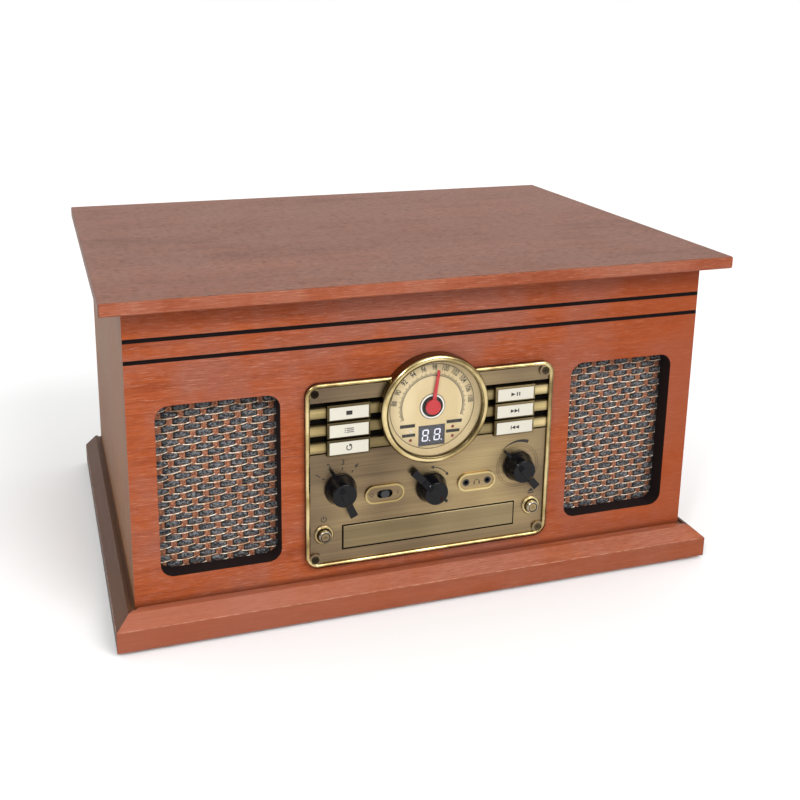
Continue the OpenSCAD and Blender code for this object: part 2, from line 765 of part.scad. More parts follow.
// Key with a framed face and a stem that reaches its push switch
module key(side, row) {
  frame_w = 1.5;
  label_t = 0.6;
  color(brass) on_front(side * key_x, plate_z + key_up - row * key_pitch) {
    difference() {
      translate([0, 0, pocket_floor]) linear_extrude(key_out - label_t - pocket_floor)
        square([key_w, key_h], center = true);
      for (end = [-1, 1]) translate([0, end * key_h / 2, key_out - label_t]) rotate([45, 0, 0])
        cube([key_w + 2, 0.9, 0.9], center = true);
    }
    translate([0, 0, pocket_floor]) linear_extrude(key_out - pocket_floor)
      square([key_w - 2 * frame_w, key_h - 2 * frame_w], center = true);
    translate([0, 0, -key_stem_in]) cylinder(r = 2, h = key_stem_in + 1);
  }
}

module stop_key() { key(-1, 0); }
module program_key() { key(-1, 1); }
module repeat_key() { key(-1, 2); }
module play_key() { key(1, 0); }
module next_key() { key(1, 1); }
module previous_key() { key(1, 2); }

// Round button with a dished face, a flange behind the panel and a stem
module round_button(side) {
  dish = 12;
  color(brass) on_front(side * button_x, button_z) difference() {
    union() {
      translate([0, 0, -slip]) cylinder(r = button_r, h = button_out - 0.6 + slip);
      translate([0, 0, button_out - 0.6]) cylinder(r1 = button_r, r2 = button_r - 0.6, h = 0.6);
      translate([0, 0, -slip - 1]) cylinder(r = button_r + button_flange, h = 1);
      translate([0, 0, -button_stem_in]) cylinder(r = 2, h = button_stem_in);
    }
    translate([0, 0, button_out + dish - 0.7]) sphere(r = dish);
  }
}

module left_button() { round_button(-1); }
module right_button() { round_button(1); }

// Pointer knob: turned body, finger lever one way and a short pointer the other way
module knob(pointer_angle, lever = lever_len, stem = true) {
  base = field + slip;
  skirt = 3;
  face = knob_out - 2;
  lever_w = 3.1;
  color("black") rotate([0, 0, -pointer_angle]) {
    difference() {
      union() {
        rotate_extrude() polygon(concat(
          [[0, base], [knob_r, base], [knob_r, base + skirt - 1], [knob_r - 0.5, base + skirt]],
          arc(knob_front_r - 0.8, face - 0.8, 0.8, 20, 90, 4),
          [[0, face]]));
        intersection() {
          rotate([90, 0, 90]) translate([0, 0, -10]) linear_extrude(20) polygon([
            [-lever - 1, base + 2.2], [-lever - 1, base + 4.4], [-knob_r, base + 7],
            [-knob_front_r, face - 0.6], [-6, knob_out], [3.5, knob_out], [8.8, face - 1],
            [knob_r, base + 4.6], [pointer_len, base + 3], [pointer_len, base + 0.6],
            [-knob_r, base + 0.6]]);
          linear_extrude(knob_out + 1) {
            intersection() {
              polygon([[-lever_w, -lever - 1], [lever_w, -lever - 1], [2.4, 0], [1.3, knob_front_r],
                       [-1.3, knob_front_r], [-2.4, 0]]);
              circle(lever);
            }
            translate([-1.1, 0]) square([2.2, pointer_len - 1.1]);
            translate([0, pointer_len - 1.1]) circle(1.1);
          }
        }
      }
      if (!stem) translate([0, 0, base - cut]) cylinder(r = shaft_r + 0.02, h = 9 + cut - slip);
    }
    if (stem) translate([0, 0, -stem_in]) cylinder(r = shaft_r, h = stem_in + base + cut);
  }
}

function_angle = -24;
tuning_angle = 135;
volume_angle = -40;
tuning_lever = min(lever_len, dial_up + tuning_down - bezel_r - 0.4);

module function_knob() { on_front(-knob_x, knob_z) knob(function_angle); }
module tuning_knob() { on_front(0, tuning_z) knob(tuning_angle, tuning_lever, stem = false); }
module volume_knob() { on_front(knob_x, knob_z) knob(volume_angle); }

oval_t = 1.7;

// Trim pressed onto the panel: two oval plates and the rings of the round buttons
module escutcheons() {
  field_w = 1.4;
  color("khaki") on_front(0, plate_z, field) {
    for (side = [-1, 1]) translate([side * oval_x, -tuning_down]) difference() {
      linear_extrude(oval_t) oval(oval_w, oval_h);
      translate([0, 0, oval_t - 0.5]) linear_extrude(1) oval(oval_w - 2 * field_w, oval_h - 2 * field_w);
      translate([0, 0, -cut]) linear_extrude(oval_t + 2 * cut) {
        if (side < 0) oval(switch_slot_w, switch_slot_h);
        if (side > 0) for (i = [-1, 1]) translate([i * jack_pitch / 2, 0]) circle(socket_nose_r + 0.1);
      }
    }
    for (side = [-1, 1]) translate([side * button_x, -button_down]) rotate_extrude()
      polygon([[button_r + 0.6, 0], [ring_r, 0], [ring_r, 0.9], [ring_r - 0.7, 1.5], [button_r + 1, 1.5],
               [button_r + 0.6, 1.1]]);
  }
}

module switch_slider() {
  nub_w = switch_slot_w - 2 * switch_travel - 2 * slip;
  color("black") on_front(-oval_x, tuning_z) {
    translate([-8.5, -4.5, -slip - 1]) cube([17, 9, 1]);
    translate([0, 0, -slip - 0.5]) linear_extrude(field + oval_t + 1.3) oval(nub_w, switch_slot_h - 0.8);
  }
}

// Two headphone sockets with true bores
module front_sockets() {
  body_in = 14;
  color("black") for (i = [-1, 1]) on_front(oval_x + i * jack_pitch / 2, tuning_z) difference() {
    union() {
      translate([0, 0, -body_in]) cylinder(r = jack_body_r, h = body_in - 0.1);
      translate([0, 0, -cut]) cylinder(r = socket_nose_r, h = field + oval_t + cut - 0.3);
    }
    translate([0, 0, 1.5 - body_in]) cylinder(r = jack_r, h = 30);
  }
}

/* Disc drawer */

tray_w = drawer_w - 6;
tray_held = 44;                     // length of the tray that stays in the case when it is open
tray_len = drawer_travel + tray_held;
tray_low = drawer_z - drawer_h / 2 + 2;
tray_high = drawer_z + drawer_h / 2 - 3;
disc_in = 76;                       // centre of the disc behind the cabinet's front
recess_z = tray_low + 5.2;          // floor of the disc recess
hub_seat = recess_z + 0.4;          // where the hub carries the disc

module drawer_front() {
  color(brass) on_front(0, drawer_z) difference() {
    translate([0, 0, -0.5]) linear_extrude(field + 0.6 + 0.5) square([drawer_w, drawer_h], center = true);
    for (end = [-1, 1]) translate([0, end * drawer_h / 2, field + 0.6]) rotate([45, 0, 0])
      cube([drawer_w + 2, 0.6, 0.6], center = true);
  }
}

// Drawer with a round recess for the disc, a finger scoop and a slot that is open at the back
module drawer() {
  slot = 17;
  slot_rim = slot + 3;
  runner = 8;
  centre_y = front_y + disc_in;
  tray_back = front_y + tray_len;
  color("dimgray") difference() {
    slab([-tray_w / 2, front_y + 0.5, tray_low], [tray_w / 2, tray_back, tray_high]);
    translate([0, centre_y, recess_z]) cylinder(r = disc_r, h = drawer_h, $fn = 96);
    slab([-slot, centre_y, tray_low - cut], [slot, tray_back + cut, tray_high + cut]);
    translate([0, centre_y, tray_low - cut]) cylinder(r = slot, h = drawer_h);
    // Hollow underside between the runners
    difference() {
      slab([runner - tray_w / 2, front_y + 6, tray_low - cut],
           [tray_w / 2 - runner, tray_back + cut, tray_low + 3]);
      translate([0, centre_y, tray_low - 2 * cut]) cylinder(r = slot_rim, h = drawer_h);
      slab([-slot_rim, centre_y, tray_low - 2 * cut], [slot_rim, tray_back + 2 * cut, tray_high]);
    }
  }
}

mech_wall = 4;
hub_foot_r = 7;
mech_half = tray_w / 2 + slip + mech_wall;
mech_back = front_y + tray_len + 18;

// Frame of the disc player: floor on the bottom board, side rails and a bridge over the drawer
module disc_mechanism() {
  half = mech_half;
  mech_top = tray_high + 8;
  under = tray_low - 1;
  mech_front = inner_front + 1;
  color("silver") difference() {
    union() {
      slab([-half, mech_front, floor_z], [half, mech_back, under]);
      for (side = [0, 1]) mirror([side, 0, 0]) {
        slab([half - mech_wall, mech_front, under - cut], [half, mech_back, mech_top]);
        slab([tray_w / 2 - 6, mech_front, under - cut], [half - cut, mech_back - 8, tray_low - 0.2]);
      }
      slab([-half, front_y + disc_in - 12, mech_top - 3], [half, front_y + disc_in + 14, mech_top]);
      slab([-half, mech_back - 5, under - cut], [half, mech_back, mech_top]);
    }
    translate([0, front_y + disc_in, floor_z + 2]) cylinder(r = hub_foot_r + 2, h = 30);
    for (side = [0, 1]) mirror([side, 0, 0])
      slab([22, mech_front + 10, floor_z + 3], [half - 12, mech_back - 16, under + cut]);
  }
}

// Hub that carries the disc, on its own short axle
module disc_hub() {
  spigot_r = 7.4;
  spigot_h = 2.2;
  lead_in = 0.9;
  foot_z = floor_z + 2.3;
  color("black") translate([0, front_y + disc_in, 0]) {
    translate([0, 0, foot_z]) cylinder(r = hub_foot_r, h = 3);
    translate([0, 0, foot_z]) cylinder(r = 2.5, h = hub_seat - foot_z);
    translate([0, 0, hub_seat - 2]) cylinder(r = 13, h = 2);
    translate([0, 0, hub_seat - cut]) cylinder(r = spigot_r, h = spigot_h + cut);
    translate([0, 0, hub_seat + spigot_h]) cylinder(r1 = spigot_r, r2 = spigot_r - 1.5, h = lead_in);
  }
}

/* Record deck */

rim_t = 3;
platter_top_t = 3;
under_free = 0.5;                    // free height between the turning platter and the pulley and belt

// Platter: top disc, deep outer rim, drive ring and hub, with two holes for fitting the belt
module platter() {
  color("silver") translate([record_x, record_y, 0]) difference() {
    union() {
      translate([0, 0, platter_z - platter_top_t]) cylinder(r = platter_r, h = platter_top_t, $fn = 128);
      translate([0, 0, deck_z + 2]) difference() {
        cylinder(r = platter_r, h = platter_up - 3, $fn = 128);
        translate([0, 0, -cut]) cylinder(r = platter_r - rim_t, h = platter_up, $fn = 128);
      }
      translate([0, 0, deck_z + 1.5]) difference() {
        cylinder(r = drive_r, h = platter_up - 3);
        translate([0, 0, -cut]) cylinder(r = drive_r - 3, h = platter_up);
      }
      translate([0, 0, deck_z + 0.5]) cylinder(r = journal_r + 3, h = platter_up - 1);
    }
    translate([0, 0, deck_z - cut]) cylinder(r = journal_r + 0.02, h = platter_up + 2 * cut);
    for (side = [-1, 1]) translate([side * (record_x - motor_x), 0, deck_z])
      cylinder(r = motor_pulley_r + 3, h = 2 * platter_up);
  }
}

module slip_mat() {
  color("black") translate([record_x, record_y, platter_z + 0.02]) difference() {
    cylinder(r = platter_r - 3, h = mat_t - 0.02, $fn = 128);
    translate([0, 0, -cut]) cylinder(r = journal_r + 0.4, h = mat_t + 2 * cut);
    for (r = [30:14:platter_r - 8]) translate([0, 0, mat_t - 0.6]) difference() {
      cylinder(r = r + 1, h = 2);
      translate([0, 0, -cut]) cylinder(r = r - 1, h = 4);
    }
  }
}

// Spindle: thick where it turns in the deck and carries the platter, thin above the mat
module spindle() {
  low = deck_z - deck_t - bush_d + 3.3;
  color("silver") translate([record_x, record_y, 0]) {
    translate([0, 0, low]) cylinder(r = journal_r, h = mat_z - low);
    translate([0, 0, mat_z - cut]) cylinder(r = spindle_r, h = spindle_up - spindle_r + cut);
    translate([0, 0, mat_z + spindle_up - spindle_r]) sphere(r = spindle_r);
  }
}

module motor() {
  color("silver") translate([motor_x, record_y, deck_z - deck_t - 24]) difference() {
    union() {
      cylinder(r = 15, h = 22);
      translate([0, 0, 22]) linear_extrude(2) oval(44, 30);
      translate([0, 0, 22]) cylinder(r = 5, h = 4.5);
    }
    translate([0, 0, 6]) cylinder(r = 1 + turn, h = 40);
  }
}

belt_z = deck_z + 3.4;
belt_h = platter_z - platter_top_t - under_free - 0.1 - belt_z;
belt_t = 1;

module motor_pulley() {
  color("gold") translate([motor_x, record_y, 0]) {
    translate([0, 0, deck_z - deck_t - 17]) cylinder(r = 1, h = deck_t + 18);
    translate([0, 0, deck_z + 2]) cylinder(r = motor_pulley_r + 1, h = 0.9);
    translate([0, 0, deck_z + 0.5]) cylinder(r = 3, h = 3);
    translate([0, 0, deck_z + 2])
      cylinder(r = motor_pulley_r, h = platter_z - platter_top_t - under_free - deck_z - 2);
  }
}

module drive_belt() {
  color("black") translate([record_x, record_y, belt_z]) rotate([0, 0, -90])
    belt(drive_r + slip, motor_pulley_r + slip, record_x - motor_x, belt_t, belt_h);
}

/* Tone arm */

yoke_gap = 7.5;                     // half width between the yoke's ears
axle_r = 1.2;

module at_pivot() {
  translate([pivot_x, pivot_y, 0]) children();
}

arm_shaft_r = 3.5;                  // upright shaft of the yoke
arm_bush_r = 6.3;                   // bush of the arm base in the deck

// Turned base of the arm, and the post that the arm rests on
module arm_base() {
  bush_low = deck_z - deck_t - 6;
  rest_w = 18;
  lip_w = 5.7;
  rest_top = arm_z - arm_r - slip;
  lip_x = arm_r + 1;
  lip_top = rest_top + 1.6 * arm_r;
  color("dimgray") at_pivot() {
    difference() {
      union() {
        translate([0, 0, deck_z]) cylinder(r1 = 21, r2 = 18, h = 4);
        translate([0, 0, deck_z + 4]) cylinder(r = 15, h = 6);
        translate([0, 0, bush_low]) cylinder(r = arm_bush_r, h = deck_z - bush_low + 2);
      }
      translate([0, 0, bush_low - cut]) cylinder(r = arm_shaft_r + turn, h = 40);
    }
    // The saddle is open towards the record and has a lip on its outer side
    translate([0, 5 - rest_reach, 0]) rotate([90, 0, 0]) linear_extrude(10)
      polygon([[lip_x + lip_w - rest_w, deck_z], [lip_x + lip_w, deck_z], [lip_x + lip_w, lip_top],
               [lip_x + 1, lip_top], [lip_x, lip_top - 1], [lip_x, rest_top],
               [lip_x + lip_w - rest_w, rest_top]]);
  }
}

// Turning fork that carries the arm's cross axle
module arm_yoke() {
  ear_t = 3;
  floor_up = deck_z + 10 + slip;
  color("silver") at_pivot() difference() {
    union() {
      translate([0, 0, deck_z - deck_t - 5]) cylinder(r = arm_shaft_r, h = deck_t + 17);
      translate([0, 0, floor_up]) cylinder(r = 13, h = 3);
      for (side = [0, 1]) mirror([side, 0, 0]) intersection() {
        translate([yoke_gap, -6, floor_up]) cube([ear_t, 12, arm_z + 5 - floor_up]);
        translate([0, 0, floor_up]) cylinder(r = 13, h = 50);
      }
    }
    translate([-20, 0, arm_z]) rotate([0, 90, 0]) cylinder(r = axle_r + turn, h = 40);
  }
}

head_angle = 22;                    // the head is turned in, so that it follows the groove
head_len = 32;                      // from the end of the tube to the stylus
tube_len = sqrt(pow(arm_len, 2) - pow(head_len * sin(head_angle), 2)) - head_len * cos(head_angle);

// Arm tube with its pivot block and tail weight; the tube runs to the front at rest
module tone_arm() {
  block_w = 2 * (yoke_gap - 0.4);
  color("dimgray") translate([pivot_x, pivot_y, arm_z]) {
    rotate([0, 90, 0]) cylinder(r = axle_r, h = 2 * (yoke_gap + 2.8), center = true);
    translate([-block_w / 2, -7, -5]) cube([block_w, 14, 10]);
    translate([0, -4, 0]) rotate([90, 0, 0]) cylinder(r = arm_r, h = tube_len - 4);
    translate([0, 4, 0]) rotate([-90, 0, 0]) cylinder(r = arm_r, h = 14);
    translate([0, 14, 0]) rotate([-90, 0, 0]) cylinder(r = 8, h = 16);
    translate([0, 14, 0]) rotate([-90, 0, 0]) cylinder(r = 8.6, h = 3);
  }
}

// Places the children at the end of the tube, turned by the head's offset angle
module at_head() {
  translate([pivot_x, pivot_y - tube_len, arm_z]) rotate([0, 0, -head_angle]) children();
}

module head_shell() {
  wall = 2;
  color("dimgray") difference() {
    union() {
      at_head() {
        translate([0, 0, -3.6]) linear_extrude(7.2) polygon([
          [5.6, 1], [9, -8], [9, -head_len], [5, -head_len - 10],
          [-5, -head_len - 10], [-9, -head_len], [-9, -8], [-5.6, 1]]);
        translate([8, -head_len - 3, -1.2]) cube([12, 4, 2]);
        translate([18, -head_len - 3, -1.2]) cube([2, 4, 4.5]);
      }
      translate([pivot_x, pivot_y - tube_len + 8, arm_z]) rotate([90, 0, 0])
        cylinder(r = arm_r + 1.6, h = 9);
    }
    translate([pivot_x, pivot_y - tube_len + 9, arm_z]) rotate([90, 0, 0])
      cylinder(r = arm_r + 0.02, h = 9);
    at_head() translate([wall - 9, -head_len - 6, -4.6]) cube([18 - 2 * wall, head_len - 4, 6.6]);
  }
}

// Ceramic cartridge with its stylus
module cartridge() {
  reach = arm_z - mat_z - 2;
  color("white") at_head() {
    translate([-5.5, -head_len - 4, -8.5]) cube([11, 20, 10.4]);
    translate([-1.5, -head_len - 4, -10.5]) cube([3, 12, 2.2]);
    translate([0, -head_len, -reach]) cylinder(r1 = 0.3, r2 = 0.9, h = reach - 9);
  }
}

// Lever that raises the arm, on a cross axle between two ears of the deck
module cue_lever() {
  color("black") translate([cue_x, cue_y, cue_z]) {
    rotate([0, 90, 0]) cylinder(r = cue_axle_r, h = 15, center = true);
    rotate([0, 90, 0]) cylinder(r = 2 * cue_axle_r, h = 9, center = true);
    translate([-2, -30, -1.5]) cube([4, 30, 3]);
    translate([-4, -36, -2]) cube([8, 10, 4]);
  }
}

// Curved bar under the arm on a guide pin that slides in the deck
module cue_lift() {
  bar_w = 5;
  bar_z = arm_z - arm_r - slip - 3;
  color("black") {
    at_pivot() translate([0, 0, bar_z]) linear_extrude(3)
      polygon(concat(arc(0, 0, cue_r + bar_w / 2, -93 - cue_sweep, -83, 16),
                     arc(0, 0, cue_r - bar_w / 2, -83, -93 - cue_sweep, 16)));
    cue_boss() translate([0, 0, 2]) cylinder(r = cue_pin_r, h = bar_z - deck_z + deck_t);
  }
}

module speed_lever() {
  color("black") translate([speed_x, speed_y, 0]) {
    translate([-2.2, -3, deck_z - deck_t - 1]) cube([4.4, 6, deck_t + 8]);
    translate([-5, -9, deck_z - deck_t - 1.8]) cube([10, 18, 1.5]);
    translate([-4, -5, deck_z + slip]) cube([8, 10, 2]);
  }
}

/* Lid */

stay_x = inner_x - 3.4;             // outer face of the stay's arm
stay_t = 1.6;
stay_w = 8;
stay_pin = 2;
stud_r = 2.5;
track_x = stay_x - stay_t - 0.5;    // outer face of the slotted track
near = 2 * stay_len * cos(lid_angle);

// Board with eased edges
module lid() {
  low_y = front_y - lid_front_over;
  color(wood) difference() {
    slab([-lid_w / 2, low_y, lid_z], [lid_w / 2, back_y, lid_z + lid_t]);
    for (z = [lid_z, lid_z + lid_t]) {
      translate([0, low_y, z]) rotate([45, 0, 0]) cube([lid_w + 2, lid_ease, lid_ease], center = true);
      for (x = [-lid_w / 2, lid_w / 2]) translate([x, (low_y + back_y) / 2, z]) rotate([0, 45, 0])
        cube([lid_ease, lid_d + 2, lid_ease], center = true);
    }
  }
}

hinge_w = 44;
hinge_x = 150;
leaf_t = 1.5;
knuckle = 12;                       // length of an end knuckle
pin_r = 1.3;

// Lid side of the two hinges, and the slotted track of the stay
module lid_hardware() {
  tab = hinge_w - 2 * knuckle - 2 * slip;
  track_front = hinge_y - 2 * stay_len - 8;
  track_back = hinge_y - near + 8;
  slot_r = stay_pin + 0.15;
  color("goldenrod") {
    for (x = [-hinge_x, hinge_x]) translate([x, 0, 0]) difference() {
      union() {
        slab([-hinge_w / 2, back_y, hinge_z + hinge_r + 0.6],
             [hinge_w / 2, back_y + leaf_t, lid_z + lid_t - 0.6]);
        slab([-tab / 2, back_y + 0.4, hinge_z], [tab / 2, back_y + leaf_t, hinge_z + hinge_r + 1]);
        translate([-tab / 2, hinge_y, hinge_z]) rotate([0, 90, 0]) cylinder(r = hinge_r, h = tab);
      }
      translate([-tab, hinge_y, hinge_z]) rotate([0, 90, 0]) cylinder(r = pin_r + turn, h = 2 * tab);
    }
    difference() {
      union() {
        slab([track_x - leaf_t, track_front, hinge_z - 5], [track_x, track_back, lid_z]);
        slab([track_x - 12, track_front, lid_z - leaf_t], [track_x, track_back, lid_z]);
      }
      slab([track_x - 2 * leaf_t, hinge_y - 2 * stay_len, hinge_z - slot_r],
           [track_x + cut, hinge_y - near, hinge_z + slot_r]);
      for (reach = [2 * stay_len, near]) translate([track_x - 2 * leaf_t, hinge_y - reach, hinge_z])
        rotate([0, 90, 0]) cylinder(r = slot_r, h = 3 * leaf_t);
    }
  }
}

// Cabinet side of the two hinges with their pins, and the stud of the stay
module body_hardware() {
  color("goldenrod") {
    for (x = [-hinge_x, hinge_x]) translate([x, 0, 0]) {
      slab([-hinge_w / 2, back_y, hinge_z - 22], [hinge_w / 2, back_y + leaf_t, hinge_z - hinge_r - 0.6]);
      for (end = [-hinge_w / 2, hinge_w / 2 - knuckle]) {
        slab([end, back_y, hinge_z - hinge_r - 1], [end + knuckle, back_y + leaf_t, hinge_z]);
        translate([end, hinge_y, hinge_z]) rotate([0, 90, 0]) cylinder(r = hinge_r, h = knuckle);
      }
      translate([-hinge_w / 2, hinge_y, hinge_z]) rotate([0, 90, 0]) cylinder(r = pin_r, h = hinge_w);
    }
    translate([inner_x, hinge_y - stay_len, hinge_z]) rotate([0, -90, 0]) {
      cylinder(r = 2 * stud_r, h = inner_x - stay_x - slip);
      cylinder(r = stud_r, h = inner_x - stay_x + stay_t + 0.1);
    }
  }
}

// Stay arm: it swings twice as far as the lid, because it is as long as its pivot is from the hinge
module stay_arm() {
  color("silver") difference() {
    union() {
      slab([stay_x - stay_t, hinge_y - 2 * stay_len, hinge_z - stay_w / 2],
           [stay_x, hinge_y - stay_len, hinge_z + stay_w / 2]);
      for (reach = [stay_len, 2 * stay_len]) translate([stay_x - stay_t, hinge_y - reach, hinge_z])
        rotate([0, 90, 0]) cylinder(r = stay_w / 2, h = stay_t);
      translate([track_x - leaf_t - 1.8, hinge_y - 2 * stay_len, hinge_z]) rotate([0, 90, 0]) {
        cylinder(r = stay_pin, h = stay_x - track_x + leaf_t + 1);
        cylinder(r = stay_pin + 1.4, h = 1.2);
      }
    }
    translate([stay_x - 10, hinge_y - stay_len, hinge_z]) rotate([0, 90, 0])
      cylinder(r = stud_r + turn, h = 20);
  }
}

/* Electronics */

line_r = 1.7;                       // bore of a line socket

// Amplifier board on four spacers between the side and the disc player
module main_board() {
  spacer = 8;
  edge = 20;                        // clear strip beside the board
  board_w = inner_x - edge - mech_half - 2;
  board_d = 100;
  sink_x = 16;
  fin_pitch = 9.5;
  color("darkgreen") translate([-inner_x + edge, inner_back - board_d - 30, floor_z]) {
    translate([0, 0, spacer]) cube([board_w, board_d, board_t]);
    for (x = [6, board_w - 6], y = [6, board_d - 6]) translate([x, y, 0]) cylinder(r = 3, h = spacer);
    // Four capacitors and a heat sink with fins
    for (i = [0:3]) translate([22 + i * 22, 24, spacer + 1]) cylinder(r = 6, h = 19);
    translate([sink_x, 62, spacer + 1]) cube([60, 8, 28]);
    for (i = [0:6]) translate([sink_x + i * fin_pitch, 56, spacer + 1]) cube([3, 18, 28]);
  }
}

// Mains transformer: foot plate, core and winding
module transformer() {
  core_w = 48;
  core_d = 40;
  color("gray") translate([inner_x - core_w - 42, inner_back - core_d - 70, floor_z]) {
    cube([core_w + 12, core_d + 4, 3]);
    translate([6, 2, 2]) cube([core_w, core_d, 40]);
    translate([14, -6, 10]) cube([core_w - 16, core_d + 16, 24]);
  }
}

// Socket plate behind the cut-out of the back panel: two line sockets and a mains inlet
module rear_sockets() {
  plate = 2;
  line_x = 30;
  line_y = 8;
  inlet_x = -22;
  color("black") translate([socket_x, inner_back, socket_z]) rotate([90, 0, 180]) difference() {
    union() {
      translate([0, 0, -plate]) linear_extrude(plate) square([socket_w, socket_h], center = true);
      for (y = [-line_y, line_y]) translate([line_x, y, -18]) cylinder(r = 6, h = 17);
      for (y = [-line_y, line_y]) translate([line_x, y, -plate]) cylinder(r = 4.15, h = plate + back_t - 1);
      translate([inlet_x, 0, -20]) linear_extrude(20) oval(32, 20);
    }
    for (y = [-line_y, line_y]) translate([line_x, y, -10]) cylinder(r = line_r, h = 30);
    translate([inlet_x, 0, -16]) linear_extrude(30) oval(26, 14);
  }
}

front_panel();
side_panels();
back_panel();
bottom_board();
plinth();
feet();
deck();
grille_cloths();
speaker_boards();
speakers();
control_panel();
panel_screws();
dial_bezel();
dial_lens();
dial_face();
display();
dial_needle();
needle_drum();
dial_cord();
tuning_shaft();
control_board();
stop_key();
program_key();
repeat_key();
play_key();
next_key();
previous_key();
function_knob();
tuning_knob();
volume_knob();
escutcheons();
switch_slider();
front_sockets();
left_button();
right_button();
drawer();
drawer_front();
disc_mechanism();
disc_hub();
platter();
slip_mat();
spindle();
motor();
motor_pulley();
drive_belt();
arm_base();
arm_yoke();
tone_arm();
head_shell();
cartridge();
cue_lever();
cue_lift();
speed_lever();
lid();
lid_hardware();
body_hardware();
stay_arm();
main_board();
transformer();
rear_sockets();
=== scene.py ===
# Looks of the stereo music centre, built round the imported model. Blender 4.5, metres.
import math
import random

import bmesh
import bpy
from mathutils import Matrix, Vector


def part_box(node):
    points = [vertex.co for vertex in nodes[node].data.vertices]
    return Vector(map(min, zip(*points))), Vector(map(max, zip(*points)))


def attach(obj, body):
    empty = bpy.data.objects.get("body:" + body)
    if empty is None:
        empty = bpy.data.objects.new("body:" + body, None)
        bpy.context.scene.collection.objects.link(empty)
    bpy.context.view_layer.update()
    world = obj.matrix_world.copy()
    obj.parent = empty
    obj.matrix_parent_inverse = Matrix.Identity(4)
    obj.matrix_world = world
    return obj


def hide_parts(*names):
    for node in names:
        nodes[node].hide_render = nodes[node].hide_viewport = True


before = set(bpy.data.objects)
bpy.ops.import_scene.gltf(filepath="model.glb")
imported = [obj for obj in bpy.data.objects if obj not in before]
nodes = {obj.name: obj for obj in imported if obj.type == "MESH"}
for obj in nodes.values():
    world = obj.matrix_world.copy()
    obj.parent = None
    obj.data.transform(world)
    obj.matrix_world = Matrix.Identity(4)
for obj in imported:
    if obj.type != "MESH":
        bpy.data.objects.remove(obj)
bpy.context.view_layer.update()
rng = random.Random(7)
mm = 0.001
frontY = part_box("front_panel")[0].y  # face of the cabinet
print("frame loaded:", len(nodes), "nodes")


def middleOf(name):
    low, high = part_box(name)
    return (low + high) / 2


dialMid = middleOf("dial_bezel")


# Shader helpers: a wire is one output socket with arithmetic, a shop builds one material's nodes
class Wire:
    def __init__(self, shop, socket):
        self.shop, self.socket = shop, socket

    def calc(self, operation, other=0.0, swap=False):
        pair = (other, self) if swap else (self, other)
        return self.shop.node("ShaderNodeMath", {"operation": operation}, {0: pair[0], 1: pair[1]})

    def __add__(self, other): return self.calc("ADD", other)
    def __radd__(self, other): return self.calc("ADD", other)
    def __sub__(self, other): return self.calc("SUBTRACT", other)
    def __rsub__(self, other): return self.calc("SUBTRACT", other, True)
    def __mul__(self, other): return self.calc("MULTIPLY", other)
    def __rmul__(self, other): return self.calc("MULTIPLY", other)
    def __pow__(self, other): return self.calc("POWER", other)
    def __gt__(self, other): return self.calc("GREATER_THAN", other)
    def __lt__(self, other): return self.calc("LESS_THAN", other)
    def __abs__(self): return self.calc("ABSOLUTE")

    def inside(self, low, high):
        return (self > low) * (self < high)


